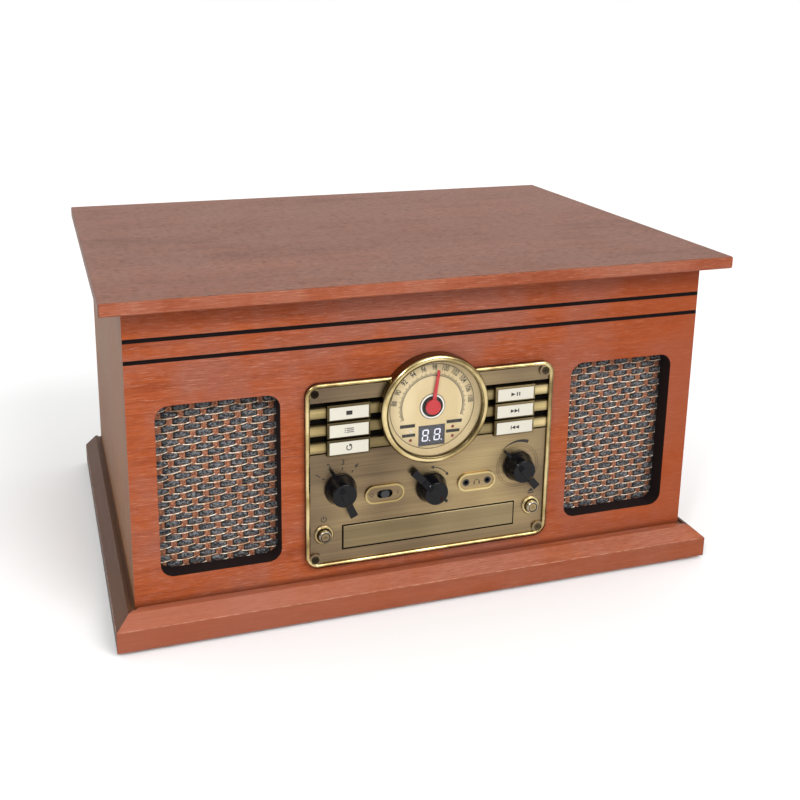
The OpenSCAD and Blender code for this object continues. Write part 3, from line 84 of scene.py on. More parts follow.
class Shop:
    def __init__(self, name, kind="materials", shader="Principled BSDF"):
        self.material = getattr(bpy.data, kind).new(name)
        self.material.use_nodes = True
        self.tree = self.material.node_tree
        self.shader = self.tree.nodes[shader]

    def node(self, kind, settings=None, sockets=None, out=0):
        made = self.tree.nodes.new(kind)
        for key, value in (settings or {}).items():
            if key == "stops":
                ramp = made.color_ramp
                while len(ramp.elements) < len(value):
                    ramp.elements.new(0.5)
                for element, (place, colour) in zip(ramp.elements, value):
                    element.position, element.color = place, (*colour, 1)
            else:
                setattr(made, key, value)
        for key, value in (sockets or {}).items():
            self.feed(made.inputs[key], value)
        return Wire(self, made.outputs[out])

    def feed(self, socket, value):
        if isinstance(value, Wire):
            self.tree.links.new(value.socket, socket)
        elif socket.type == "RGBA" and len(value) == 3:
            socket.default_value = (*value, 1)
        else:
            socket.default_value = value

    def place(self):  # object coordinates, which are the model's own metres
        return self.node("ShaderNodeTexCoord", out=3)

    def axis(self, which):
        return self.node("ShaderNodeSeparateXYZ", sockets={0: self.place()}, out="XYZ".index(which))

    def away(self, middle, flat="XZ"):  # distance from an axis
        first, second = [self.axis(which) - middle["XYZ".index(which)] for which in flat]
        return (first * first + second * second) ** 0.5

    def stretched(self, scale, shift=(0, 0, 0)):
        return self.node("ShaderNodeMapping", sockets={"Vector": self.place(), "Location": shift, "Scale": scale})

    def noise(self, where, scale=1, detail=4, roughness=0.55, distortion=0):
        return self.node("ShaderNodeTexNoise", sockets={
            "Vector": where, "Scale": scale, "Detail": detail, "Roughness": roughness, "Distortion": distortion})

    def blend(self, factor, first, second):
        return self.node("ShaderNodeMix", {"data_type": "RGBA"}, {0: factor, 6: first, 7: second}, out=2)

    def ramp(self, value, stops):
        return self.node("ShaderNodeValToRGB", {"stops": stops}, {0: value})

    def roundedEdge(self, middle, halfX, halfZ, corner):  # distance inwards from a rounded rectangle's outline
        x, z = abs(self.axis("X") - middle.x) - (halfX - corner), abs(self.axis("Z") - middle.z) - (halfZ - corner)
        outX, outZ = x.calc("MAXIMUM"), z.calc("MAXIMUM")
        return corner - (outX * outX + outZ * outZ) ** 0.5 - x.calc("MAXIMUM", z).calc("MINIMUM")

    def spread(self, value, low, high, toLow=0, toHigh=1):
        return self.node("ShaderNodeMapRange", {"clamp": True}, {
            "Value": value, "From Min": low, "From Max": high, "To Min": toLow, "To Max": toHigh})

    def bump(self, height, distance, strength=1.0):
        return self.node("ShaderNodeBump", sockets={"Height": height, "Distance": distance, "Strength": strength})

    def finish(self, colour, roughness, bump=None, **fixed):
        for name, value in {"Base Color": colour, "Roughness": roughness, "Normal": bump}.items():
            if value is not None:
                self.feed(self.shader.inputs[name], value)
        for name, value in fixed.items():
            self.feed(self.shader.inputs[name.replace("_", " ")], value)
        return self.material


def dress(material, *names):
    for name in names:
        mesh = nodes[name].data
        mesh.materials.clear()
        mesh.materials.append(material)


# Woods: broad bands, streaks, fine fibres, pale flecks and short dark pores, all drawn out along the grain
woods = {
    "front": {"along": "x", "dark": (0.195, 0.038, 0.012), "mid": (0.315, 0.066, 0.018),
              "light": (0.40, 0.100, 0.032), "dull": (0.27, 0.092, 0.060), "fleck": (0.55, 0.26, 0.18),
              "flecks": 0.34, "pores": 0.34, "gloss": 0.42, "shift": (0.0, 0.3, 0.1)},
    # side: a darker, duller copy of the front veneer's colours, painted shade on the side away from the light
    "side": {"along": "z", "dark": (0.135, 0.036, 0.008), "mid": (0.190, 0.066, 0.009), "light": (0.24, 0.092, 0.016),
             "dull": (0.17, 0.074, 0.020), "fleck": (0.36, 0.17, 0.09), "flecks": 0.2, "pores": 0.3, "gloss": 0.46,
             "shift": (0.3, 0.1, 0.7)},
    # lid top: real pores and grain, with a muted greyed tone that is partly a painted sheen
    "lid": {"along": "x", "dark": (0.130, 0.044, 0.024), "mid": (0.205, 0.074, 0.041), "light": (0.275, 0.108, 0.064),
            "dull": (0.20, 0.085, 0.056), "fleck": (0.42, 0.21, 0.14), "flecks": 0.4, "pores": 0.8, "poreFrom": 0.55,
            "gloss": 0.42, "shift": (0.9, 0.5, 0.3)},
    "edge": {"along": "x", "dark": (0.19, 0.038, 0.013), "mid": (0.28, 0.064, 0.023), "light": (0.37, 0.100, 0.042),
             "dull": (0.31, 0.105, 0.06), "fleck": (0.56, 0.27, 0.17), "flecks": 0.34, "pores": 0.34, "gloss": 0.42,
             "shift": (0.1, 0.8, 0.4)},
    "plinth": {"along": "x", "dark": (0.19, 0.040, 0.013), "mid": (0.29, 0.068, 0.020),
               "light": (0.39, 0.104, 0.036), "dull": (0.33, 0.110, 0.066), "fleck": (0.56, 0.26, 0.16),
               "flecks": 0.26, "pores": 0.34, "gloss": 0.40, "shift": (0.5, 0.9, 0.1)},
    # plinth's sides: the plinth veneer made much darker, painted shade on the sides away from the light
    "shadedPlinthSide": {"along": "y", "dark": (0.060, 0.018, 0.004), "mid": (0.088, 0.030, 0.008),
                   "light": (0.125, 0.045, 0.014), "dull": (0.085, 0.036, 0.016), "fleck": (0.20, 0.10, 0.06),
                   "flecks": 0.25, "pores": 0.3, "gloss": 0.46, "shift": (0.5, 0.2, 0.6)},
    "board": {"along": "x", "dark": (0.10, 0.055, 0.03), "mid": (0.16, 0.09, 0.05), "light": (0.22, 0.13, 0.08),
              "dull": (0.15, 0.10, 0.06), "fleck": (0.3, 0.2, 0.12), "flecks": 0.2, "pores": 0.2, "gloss": 0.6,
              "shift": (0.2, 0.2, 0.2)},
}
blackPaint, paintRough = (0.014, 0.008, 0.008), 0.25
poreFrom, poreWide = 0.59, 0.08  # where the pores' noise starts to count as a pit


grainScales = {"bands": (1.3, 24), "streaks": (8, 260), "fibre": (55, 1500), "fleck": (90, 1500), "pore": (150, 2100)}


def woodWires(shop, look):  # colour, roughness and relief of one wood
    along = "xyz".index(look["along"])

    def drawn(which, away=1):  # noise space of one feature, scaled along and across the grain
        long, cross = grainScales[which]
        return shop.stretched(tuple(long if i == along else cross for i in range(3)),
                              tuple(away * s for s in look["shift"]))
    bands = shop.noise(drawn("bands"), detail=3, distortion=0.4)
    streaks = shop.noise(drawn("streaks"), detail=6, roughness=0.68, distortion=0.3)
    fibre = shop.noise(drawn("fibre"), detail=3, roughness=0.65)
    fleck = shop.noise(drawn("fleck", 3), detail=2, roughness=0.7)
    pore = shop.noise(drawn("pore", 5), detail=2, roughness=0.75)
    cloud = shop.noise(shop.place(), 17, detail=4, roughness=0.6)
    tone = bands * 0.38 + streaks * 0.42 + cloud * 0.20
    base = shop.ramp(tone, [(0.37, look["dark"]), (0.50, look["mid"]), (0.63, look["light"])])
    base = shop.blend(shop.spread(cloud, 0.42, 0.60, 0.0, 0.85), base, look["dull"])
    base = shop.blend(shop.spread(fibre, 0.34, 0.60, 0.45, 0.0), base, look["dark"])
    base = shop.blend(shop.spread(fleck, 0.54, 0.72) * look["flecks"], base, look["fleck"])
    start = look.get("poreFrom", poreFrom)
    pits = shop.spread(pore, start, start + poreWide)
    base = shop.blend(pits * look["pores"], base, tuple(0.3 * c for c in look["dark"]))
    return base, look["gloss"] + fibre * 0.10 + pits * 0.15, fibre * 0.4 - pits


def woodFinish(shop, base, rough, relief, shine=0.2):
    return shop.finish(base, rough, shop.bump(relief, 0.00008, 0.5), Specular_IOR_Level=shine)


# Painted lines: heights of the two grooves below the case's top edge, and how far the paint spills over
grooves = {"down": (23.4 * mm, 38.7 * mm), "half": 1.25 * mm, "spill": 0.3 * mm}


def grooveBand(shop, spill):
    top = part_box("front_panel")[1].z
    return sum((abs(shop.axis("Z") - (top - down)) < grooves["half"] + spill for down in grooves["down"]), 0.0)


frontLook = {"rightShade": (0.265, 0.046, 0.008), "rightShadeSpan": (0.06, 0.21), "rightShadeShare": 0.6, "shine": 0.12,
             "jointShade": (0.10, 0.022, 0.008), "jointShadeSpan": (0.2 * mm, 5 * mm), "jointShadeShare": 0.75, "paintFrom": 0.4 * mm}


def frontBoard():  # black paint in the grooves, in the windows and on the back; painted shade darker towards the right end, and a painted contact shadow along the foot at the plinth
    shop, look = Shop("frontVeneer"), frontLook
    base, rough, relief = woodWires(shop, woods["front"])
    # painted shade: the front turns darker and redder towards its right end
    rightShade = shop.spread(shop.axis("X"), *look["rightShadeSpan"], 0, look["rightShadeShare"])
    base = shop.blend(rightShade, base, look["rightShade"])
    # painted contact shadow along the foot of the front, where it meets the plinth
    foot = shop.axis("Z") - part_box("front_panel")[0].z
    base = shop.blend(shop.spread(foot, *look["jointShadeSpan"], look["jointShadeShare"], 0), base, look["jointShade"])
    black = (shop.axis("Y") > frontY + look["paintFrom"]).calc("MAXIMUM", grooveBand(shop, grooves["spill"]))
    return woodFinish(shop, shop.blend(black, base, blackPaint), rough + black * paintRough, relief, look["shine"])


sideLook = {"skin": 0.05 * mm, "slack": 0.1 * mm, "grooveDeep": 3 * mm}


def sideBoard():  # veneer outside, painted darker as shade for the side away from the light; black paint on the inner faces and behind the ends of the grooves
    shop = Shop("sideVeneer")
    base, rough, relief = woodWires(shop, woods["side"])
    out = abs(shop.axis("X"))
    behind = (grooveBand(shop, 0) * (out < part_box("side_panels")[1].x - sideLook["skin"])
              * (shop.axis("Y") < frontY + sideLook["grooveDeep"]))
    inner = (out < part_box("bottom_board")[1].x + sideLook["slack"]).calc("MAXIMUM", behind)
    return woodFinish(shop, shop.blend(inner, base, blackPaint), rough + inner * paintRough, relief)


lidLook = {"endWide": 1.0 * mm, "endShade": (0.115, 0.060, 0.042), "endShare": 0.75, "topSkin": 0.5 * mm}


def lidBoard():  # mauve-brown top whose muted, greyed tone is partly a painted sheen, warmer edges and underside, painted shade on the left end
    shop = Shop("lidVeneer")
    top, rough, relief = woodWires(shop, woods["lid"])
    edge = woodWires(shop, woods["edge"])[0]
    low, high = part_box("lid")
    # painted shade on the lid's left end face
    leftEndShade = shop.axis("X") < low.x + lidLook["endWide"]
    edge = shop.blend(leftEndShade * lidLook["endShare"], edge, lidLook["endShade"])
    isTop = shop.axis("Z") > high.z - lidLook["topSkin"]
    return woodFinish(shop, shop.blend(isTop, edge, top), rough, relief)


plinthLook = {"leftSheenSpan": (-0.15, 0.05), "leftSheenShare": 0.55, "shadedLowFront": (0.20, 0.042, 0.014),
              "shadedLowSide": (0.035, 0.012, 0.005), "lowShadeShare": 0.5, "seamHighlight": (0.55, 0.30, 0.20), "seamUp": 18.9 * mm,
              "seamHighlightHalf": 0.3 * mm, "seamHighlightNoise": 160, "jointShade": (0.035, 0.010, 0.005), "jointShadeSpan": (0.4 * mm, 1.4 * mm),
              "jointShadeShare": 0.85, "mitre": (0.03, 0.012, 0.006), "mitreHalf": 0.22 * mm, "mitreShare": 0.6}


def plinthMoulding():  # grain turns at the mitres; painted sheen paler to the left, painted shade on the upright face and the sides, a painted highlight along the seam at the foot of the bevel, and a painted contact shadow on the ledge at the joint with the case
    shop, look = Shop("plinthVeneer"), plinthLook
    front, rough, relief = woodWires(shop, woods["plinth"])
    # painted sheen: the plinth turns paler and pinker towards the left
    dull = shop.spread(shop.axis("X"), *look["leftSheenSpan"], look["leftSheenShare"], 0)
    front = shop.blend(dull, front, woods["plinth"]["dull"])
    side = woodWires(shop, woods["shadedPlinthSide"])[0]
    # painted shade: the upright face below the bevel is darker than the upward bevel
    below = shop.axis("Z") < look["seamUp"]
    front = shop.blend(below * look["lowShadeShare"], front, look["shadedLowFront"])
    side = shop.blend(below * look["lowShadeShare"], side, look["shadedLowSide"])
    low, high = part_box("plinth")
    fromSide = high.x - abs(shop.axis("X"))
    fromFront = shop.axis("Y") - low.y
    base = shop.blend(fromSide < fromFront, front, side)
    # painted highlight: a pale broken line along the seam where the bevel meets the face
    seamHighlight = shop.noise(shop.place(), look["seamHighlightNoise"], detail=3)
    edge = (abs(shop.axis("Z") - look["seamUp"]) < look["seamHighlightHalf"]) * shop.spread(seamHighlight, 0.42, 0.62, 0.05, 0.45)
    base = shop.blend(edge, base, look["seamHighlight"])
    # painted contact shadow on the plinth's top ledge, next to the case
    outwards = (frontY - shop.axis("Y")).calc("MAXIMUM", abs(shop.axis("X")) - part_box("side_panels")[1].x)
    near = outwards + (shop.axis("Z") < high.z - 0.3 * mm) * 0.1  # only on the top ledge
    base = shop.blend(shop.spread(near, *look["jointShadeSpan"], look["jointShadeShare"], 0), base, look["jointShade"])
    mitre = (abs(fromSide - fromFront) < look["mitreHalf"]) * look["mitreShare"]
    base = shop.blend(mitre, base, look["mitre"])
    return woodFinish(shop, base, rough, relief)


def plainBoard():
    shop = Shop("fibreBoard")
    return woodFinish(shop, *woodWires(shop, woods["board"]))


dress(frontBoard(), "front_panel")
dress(sideBoard(), "side_panels")
dress(lidBoard(), "lid")
dress(plinthMoulding(), "plinth")
dress(plainBoard(), "back_panel", "bottom_board", "speaker_boards")
print("woods done")


# Metals: brushed along X, with tarnish in broad soft patches
metals = {
    "plate": {"dark": (0.115, 0.080, 0.050), "mid": (0.235, 0.170, 0.095), "light": (0.42, 0.315, 0.160),
              "rough": 0.33},
    "drawer": {"dark": (0.155, 0.115, 0.062), "mid": (0.215, 0.163, 0.088), "light": (0.30, 0.235, 0.13),
               "rough": 0.34},
    "gold": {"dark": (0.23, 0.165, 0.070), "mid": (0.45, 0.340, 0.150), "light": (0.72, 0.585, 0.30), "rough": 0.24},
    "bar": {"dark": (0.30, 0.225, 0.100), "mid": (0.46, 0.355, 0.160), "light": (0.66, 0.53, 0.27), "rough": 0.28},
    "olive": {"dark": (0.06, 0.044, 0.020), "mid": (0.13, 0.098, 0.046), "light": (0.26, 0.20, 0.10), "rough": 0.30},
    "screw": {"dark": (0.012, 0.009, 0.006), "mid": (0.035, 0.027, 0.017), "light": (0.11, 0.085, 0.050),
              "rough": 0.30},
    "button": {"dark": (0.10, 0.085, 0.06), "mid": (0.22, 0.19, 0.14), "light": (0.42, 0.37, 0.28), "rough": 0.26},
    "steel": {"dark": (0.30, 0.30, 0.30), "mid": (0.48, 0.48, 0.48), "light": (0.62, 0.62, 0.61), "rough": 0.28},
    "platter": {"dark": (0.40, 0.40, 0.41), "mid": (0.55, 0.55, 0.56), "light": (0.68, 0.68, 0.69), "rough": 0.3},
}


tarnish = {"wide": (1.5, 120, 120), "patch": (9, 16, 16)}


def brushed(shop, look, long=5, cross=1500):
    streak = shop.noise(shop.stretched((long, cross, cross)), detail=3, roughness=0.7)
    wide = shop.noise(shop.stretched(tarnish["wide"]), detail=2)
    patch = shop.noise(shop.stretched(tarnish["patch"]), detail=2)
    tone = streak * 0.22 + wide * 0.16 + patch * 0.62
    base = shop.ramp(tone, [(0.38, look["dark"]), (0.49, look["mid"]), (0.61, look["light"])])
    return base, look["rough"] + streak * 0.14 - 0.05, streak


def metal(name, look, **options):
    shop = Shop(name)
    base, rough, streak = brushed(shop, look, **options)
    return shop.finish(base, rough, shop.bump(streak, 0.00002, 0.5), Metallic=1.0)


def goldPatches(shop):  # bright brass with uneven tarnish
    patch = shop.noise(shop.place(), 40, detail=3)
    return shop.ramp(patch, [(0.36, metals["gold"]["dark"]), (0.5, metals["gold"]["mid"]),
                             (0.66, metals["gold"]["light"])])


panel = {"rimWide": 3.2 * mm, "rimSlack": 0.4 * mm, "rimUp": 2.75 * mm, "rimRound": 0.9 * mm, "corner": 10 * mm,
         "footWide": 0.5 * mm, "scribed": (2.45 * mm, 2.25 * mm), "line": (0.03, 0.02, 0.012), "lineShare": 0.55,
         "sunkUp": 0.75 * mm, "slotShadeWide": 1.2 * mm, "gapShade": (0.006, 0.005, 0.004), "barHalf": 5 * mm,
         "barHighlight": (1.2 * mm, 4.6 * mm), "barHighlightSpan": (50 * mm, 92 * mm), "barHighlightShare": 0.35,
         "shadeSpan": (4 * mm, 36 * mm), "shade": (0.15, 0.108, 0.072), "shadeShare": 0.6}


def panelBrass():  # brown field with painted shade towards the rim, bright rounded rim with a painted highlight on its crest, bars with painted highlights on their crests, near-black painted shade in the sunk gaps, round the drawer and along the rim's foot, dark scribed rings
    shop = Shop("panelBrass")
    x, y, z = [shop.axis(which) for which in "XYZ"]
    field, rough, streak = brushed(shop, metals["plate"])
    low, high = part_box("control_panel")
    inwards = shop.roundedEdge((low + high) / 2, (high.x - low.x) / 2, (high.z - low.z) / 2, panel["corner"])
    shade = shop.spread(inwards, *panel["shadeSpan"], panel["shadeShare"], 0)
    field = shop.blend(shade, field, panel["shade"])
    rim = (y < frontY - panel["rimUp"]) * (inwards < panel["rimWide"] + panel["rimSlack"])
    crown = shop.spread(inwards, 0, panel["rimWide"], 0, math.pi).calc("SINE")
    rows = [abs(z - middleOf(name).z) for name in ("stop_key", "program_key", "repeat_key")]
    fromBar = rows[0].calc("MINIMUM", rows[1]).calc("MINIMUM", rows[2])
    # painted highlight along each bar's crest, stronger towards the outer ends, with painted shade on the flanks
    barHighlight = shop.spread(fromBar, *panel["barHighlight"], 1, 0) * shop.spread(abs(x), *panel["barHighlightSpan"], panel["barHighlightShare"], 1)
    bar = shop.blend(barHighlight, metals["olive"]["mid"], brushed(shop, metals["bar"], long=2, cross=300)[0])
    field = shop.blend((fromBar < panel["barHalf"]) * (1 - rim), field, bar)
    # painted highlight on the rim's crest, fading to painted shade at both edges of the rim
    base = shop.blend(rim, field, shop.blend(crown * 0.5 + 0.5, metals["olive"]["mid"], goldPatches(shop)))
    slotLow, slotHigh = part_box("drawer_front")
    # painted shade: the sunk floors and a band round the drawer are painted near-black
    nearSlot = ((abs(x) < slotHigh.x + panel["slotShadeWide"])
                * (abs(z - middleOf("drawer_front").z) < (slotHigh.z - slotLow.z) / 2 + panel["slotShadeWide"]))
    sunk = y > frontY - panel["sunkUp"]
    base = shop.blend((sunk + nearSlot).calc("MINIMUM", 1.0), base, panel["gapShade"])
    scribed = y.inside(*(frontY - up for up in panel["scribed"]))
    # painted shade: a dark line along the foot of the rim, in the crease beside the field
    foot = inwards.inside(panel["rimWide"], panel["rimWide"] + panel["footWide"]) * (1 - rim)
    base = shop.blend((scribed + foot).calc("MINIMUM", 1.0) * panel["lineShare"], base, panel["line"])
    relief = shop.bump(crown * rim * panel["rimRound"] + streak * (1 - rim) * 0.00001, 1.0)
    return shop.finish(base, rough - rim * 0.10 + sunk * 0.3, relief, Metallic=1.0)


bezel = {"wallTo": 38.9 * mm, "outerShadeSpan": (41.2 * mm, 42.6 * mm), "outerShadeShare": 0.9}


def bezelBrass():  # bright front ring; the inner wall and the outer edge painted dark olive as shade
    shop = Shop("bezelBrass")
    olive, rough, streak = brushed(shop, metals["olive"], long=12, cross=300)
    away = shop.away(dialMid)
    # painted shade: the outer edge turns dark olive
    base = shop.blend(shop.spread(away, *bezel["outerShadeSpan"], 0, bezel["outerShadeShare"]), goldPatches(shop), olive)
    # painted shade: the inner wall is dark olive
    base = shop.blend(away < bezel["wallTo"], base, olive)
    return shop.finish(base, rough - 0.10, shop.bump(streak, 0.00001, 0.3), Metallic=1.0)


trimEdgeUp = 3.95 * mm


def trimBrass():  # oval plates and button rings: pale raised edges, sunk fields like the plate
    shop = Shop("trimBrass")
    trim, rough, streak = brushed(shop, metals["plate"])
    edge = brushed(shop, metals["gold"])[0]
    proud = shop.axis("Y") < frontY - trimEdgeUp
    return shop.finish(shop.blend(proud, trim, edge), rough, shop.bump(streak, 0.00002, 0.4), Metallic=1.0)


buttonLook = {"dish": 3.2 * mm, "line": (3.0 * mm, 3.7 * mm), "lineDark": (0.02, 0.015, 0.010), "cup": 3.0 * mm,
              "cupShare": 0.5}


def buttonBrass():  # bright rim, dark ring and a browner dish in the middle
    shop = Shop("buttonBrass")
    rim, rough, streak = brushed(shop, metals["button"])
    dish = brushed(shop, metals["plate"])[0]
    middle = middleOf("right_button")
    x, z = abs(shop.axis("X")) - middle.x, shop.axis("Z") - middle.z
    away = (x * x + z * z) ** 0.5
    base = shop.blend(away < buttonLook["dish"], rim, dish)
    base = shop.blend(away.inside(*buttonLook["line"]), base, buttonLook["lineDark"])
    cup = shop.spread(away, 0, buttonLook["cup"], buttonLook["cupShare"], 0)
    base = shop.blend(cup, base, metals["screw"]["dark"])
    return shop.finish(base, rough, shop.bump(streak, 0.00002, 0.4), Metallic=1.0)


steel = metal("platedSteel", metals["steel"])
dress(panelBrass(), "control_panel")
dress(bezelBrass(), "dial_bezel")
dress(metal("drawerBrass", metals["drawer"]), "drawer_front")
dress(trimBrass(), "escutcheons")
dress(metal("goldBrass", metals["gold"]), "lid_hardware", "body_hardware", "motor_pulley")
dress(buttonBrass(), "left_button", "right_button")
dress(metal("screwBrass", metals["screw"]), "panel_screws")
dress(steel, "tuning_shaft", "spindle", "motor", "arm_yoke", "stay_arm", "speakers", "transformer")
dress(metal("platterMetal", metals["platter"]), "platter")
print("metals done")


# Plastics, rubber and boards: fine moulded grain, faint smears
plastics = {
    "blackGloss": {"base": (0.003, 0.003, 0.004), "rough": 0.10, "grain": 900, "depth": 0.00001},
    "blackMatte": {"base": (0.016, 0.016, 0.017), "rough": 0.48, "grain": 1400, "depth": 0.00004},
    "rubber": {"base": (0.014, 0.014, 0.014), "rough": 0.72, "grain": 700, "depth": 0.00006},
    "keyWhite": {"base": (0.52, 0.49, 0.41), "rough": 0.34, "grain": 1200, "depth": 0.00001},
    "ivory": {"base": (0.62, 0.58, 0.47), "rough": 0.38, "grain": 1200, "depth": 0.00001},
    "cream": {"base": (0.62, 0.50, 0.29), "rough": 0.42, "grain": 1500, "depth": 0.00001},
    "red": {"base": (0.42, 0.006, 0.012), "rough": 0.30, "grain": 900, "depth": 0.00001},
    "grey": {"base": (0.16, 0.16, 0.165), "rough": 0.45, "grain": 1200, "depth": 0.00003},
    "greenBoard": {"base": (0.015, 0.10, 0.035), "rough": 0.35, "grain": 500, "depth": 0.00003},
    "cord": {"base": (0.45, 0.36, 0.22), "rough": 0.8, "grain": 2500, "depth": 0.0001},
    "ink": {"base": (0.012, 0.009, 0.007), "rough": 0.6, "grain": 1500, "depth": 0.00001},
    "paleInk": {"base": (0.62, 0.61, 0.58), "rough": 0.6, "grain": 1500, "depth": 0.00001},
    "digit": {"base": (0.72, 0.72, 0.84), "rough": 0.4, "grain": 1500, "depth": 0.00001},
}


def plasticWires(shop, look):
    grain = shop.noise(shop.place(), look["grain"], detail=2)
    smear = shop.noise(shop.place(), 30, detail=4)
    base = shop.blend(smear * 0.35, look["base"], tuple(min(1, 1.35 * c + 0.003) for c in look["base"]))
    return base, look["rough"] + smear * 0.12 - 0.06, grain


def plastic(name, look, **fixed):
    shop = Shop(name)
    base, rough, grain = plasticWires(shop, look)
    return shop.finish(base, rough, shop.bump(grain, look["depth"], 0.6), **fixed)


blackMatte = plastic("blackMatte", plastics["blackMatte"])
dress(plastic("blackGloss", plastics["blackGloss"], Specular_IOR_Level=0.2),
      "function_knob", "tuning_knob", "volume_knob")
dress(blackMatte, "deck", "drawer", "switch_slider", "front_sockets", "disc_hub", "arm_base", "cue_lever",
      "cue_lift", "speed_lever", "tone_arm", "head_shell")
dress(plastic("rubber", plastics["rubber"]), "feet", "slip_mat", "drive_belt")
dress(plastic("ivoryPlastic", plastics["ivory"]), "cartridge", "needle_drum")
dress(plastic("needleRed", plastics["red"]), "dial_needle")
dress(plastic("greyMoulding", plastics["grey"]), "disc_mechanism")
dress(plastic("circuitBoard", plastics["greenBoard"]), "control_board", "main_board")
dress(plastic("braidedCord", plastics["cord"]), "dial_cord")


keyFaceUp = 5.8 * mm


def keyFinish():  # white face in a brass frame
    shop = Shop("keyFace")
    face, rough, grain = plasticWires(shop, plastics["keyWhite"])
    isFace = shop.axis("Y") < frontY - keyFaceUp
    brass = brushed(shop, metals["olive"])[0]
    return shop.finish(shop.blend(isFace, brass, face), rough, shop.bump(grain, 0.00001, 0.5), Metallic=1 - isFace)


lensLook = {"tint": (0.30, 0.29, 0.26), "rough": 0.03, "haze": 0.03, "alpha": 0.03}


def lensGlass():
    shop = Shop("lensGlass")
    haze = shop.noise(shop.place(), 60, detail=3)
    shop.material.blend_method = "BLEND"
    return shop.finish(lensLook["tint"], lensLook["rough"] + haze * lensLook["haze"], Alpha=lensLook["alpha"])


# Radii of the dial face from its centre, and its colours
dialLook = {"stain": (0.50, 0.37, 0.17), "stainShare": 0.55, "stainScale": (60, 60, 14),
            "darkerOut": (0.40, 0.29, 0.13), "darkerOutShare": 0.45, "darkerOutSpan": (24 * mm, 35 * mm),
            "line": (9.6 * mm, 10.2 * mm), "ring": (0.74, 0.72, 0.64),
            "wellTo": 8.35 * mm, "well": (0.045, 0.035, 0.034)}


def dialFinish():  # cream print, browner outwards, with painted shade in the well inside a white ring
    shop, look = Shop("dialCream"), dialLook
    cream, rough, grain = plasticWires(shop, plastics["cream"])
    away = shop.away(dialMid)
    stain = shop.noise(shop.stretched(look["stainScale"]), detail=2)
    base = shop.blend(shop.spread(stain, 0.40, 0.62, 0, look["stainShare"]), cream, look["stain"])
    # darker towards the bezel
    base = shop.blend(shop.spread(away, *look["darkerOutSpan"], 0, look["darkerOutShare"]), base, look["darkerOut"])
    base = shop.blend(away.inside(*look["line"]), base, plastics["ink"]["base"])
    base = shop.blend(away < look["line"][0], base, look["ring"])
    # painted shade: the well in the middle is painted dark like the cavity it stands for
    base = shop.blend(away < look["wellTo"], base, look["well"])
    return shop.finish(base, rough, shop.bump(grain, 0.00001, 0.5))


displayLook = {"window": {"base": (0.040, 0.041, 0.050), "rough": 0.2, "grain": 900}, "lampFrom": 12 * mm,
               "paleAbove": -21 * mm, "red": (0.20, 0.022, 0.018), "pale": (0.62, 0.58, 0.48)}


def displayFinish():  # smoked window between four lamps, the upper left one pale
    shop, look = Shop("displayWindow"), displayLook
    smoke, rough, grain = plasticWires(shop, look["window"])
    x, z = shop.axis("X"), shop.axis("Z")
    lamp = abs(x) > look["lampFrom"]
    pale = lamp * (x < 0) * (z > dialMid.z + look["paleAbove"])
    base = shop.blend(pale, shop.blend(lamp, smoke, look["red"]), look["pale"])
    return shop.finish(base, rough, shop.bump(grain, 0.00001, 0.4))


socketLook = {"upper": (0.62, 0.62, 0.60), "lower": (0.40, 0.015, 0.012), "proudFrom": 0.3 * mm}


def socketFinish():  # black plate, one red and one white line socket
    shop = Shop("rearSocketPlastic")
    black, rough, grain = plasticWires(shop, plastics["blackMatte"])
    middle = middleOf("rear_sockets")
    proud = shop.axis("Y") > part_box("back_panel")[0].y + socketLook["proudFrom"]
    left = shop.axis("X") < middle.x
    upper = shop.axis("Z") > middle.z
    base = shop.blend(proud * left * upper, black, socketLook["upper"])
    base = shop.blend(proud * left * (1 - upper), base, socketLook["lower"])
    return shop.finish(base, rough, shop.bump(grain, 0.00003, 0.5))


dress(keyFinish(), "stop_key", "program_key", "repeat_key", "play_key", "next_key", "previous_key")
dress(lensGlass(), "dial_lens")
dress(dialFinish(), "dial_face")
dress(displayFinish(), "display")
dress(socketFinish(), "rear_sockets")
print("plastics done")


# Woven speaker cloth: thick dark wefts over and under brown warp strips, with a pale thread below each weft
weave = {"strip": 8.2 * mm, "row": 5.3 * mm, "floatLong": 11.4 * mm, "floatTall": 4.7 * mm, "floatDeep": 0.95 * mm,
         "stripWide": 4.3 * mm, "threadRadius": 0.42 * mm, "smileHalf": 7.9 * mm, "paneWide": 97 * mm,
         "edge": 0.4 * mm, "backDeep": 1.7 * mm, "backThick": 0.5 * mm, "uneven": 0.3 * mm}


def placed(name, mesh, material, body="cabinet"):
    mesh.materials.clear()
    mesh.materials.append(material)
    piece = bpy.data.objects.new(name, mesh)
    bpy.context.scene.collection.objects.link(piece)
    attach(piece, body)
    return piece


def newPiece(name, bm, material, body="cabinet", smooth=False):
    bmesh.ops.recalc_face_normals(bm, faces=bm.faces)
    mesh = bpy.data.meshes.new(name)
    bm.to_mesh(mesh)
    bm.free()
    for face in mesh.polygons:
        face.use_smooth = smooth
    return placed(name, mesh, material, body)


def around(sides):  # cosine and sine of equal steps round a circle
    return [(math.cos(2 * math.pi * k / sides), math.sin(2 * math.pi * k / sides)) for k in range(sides)]


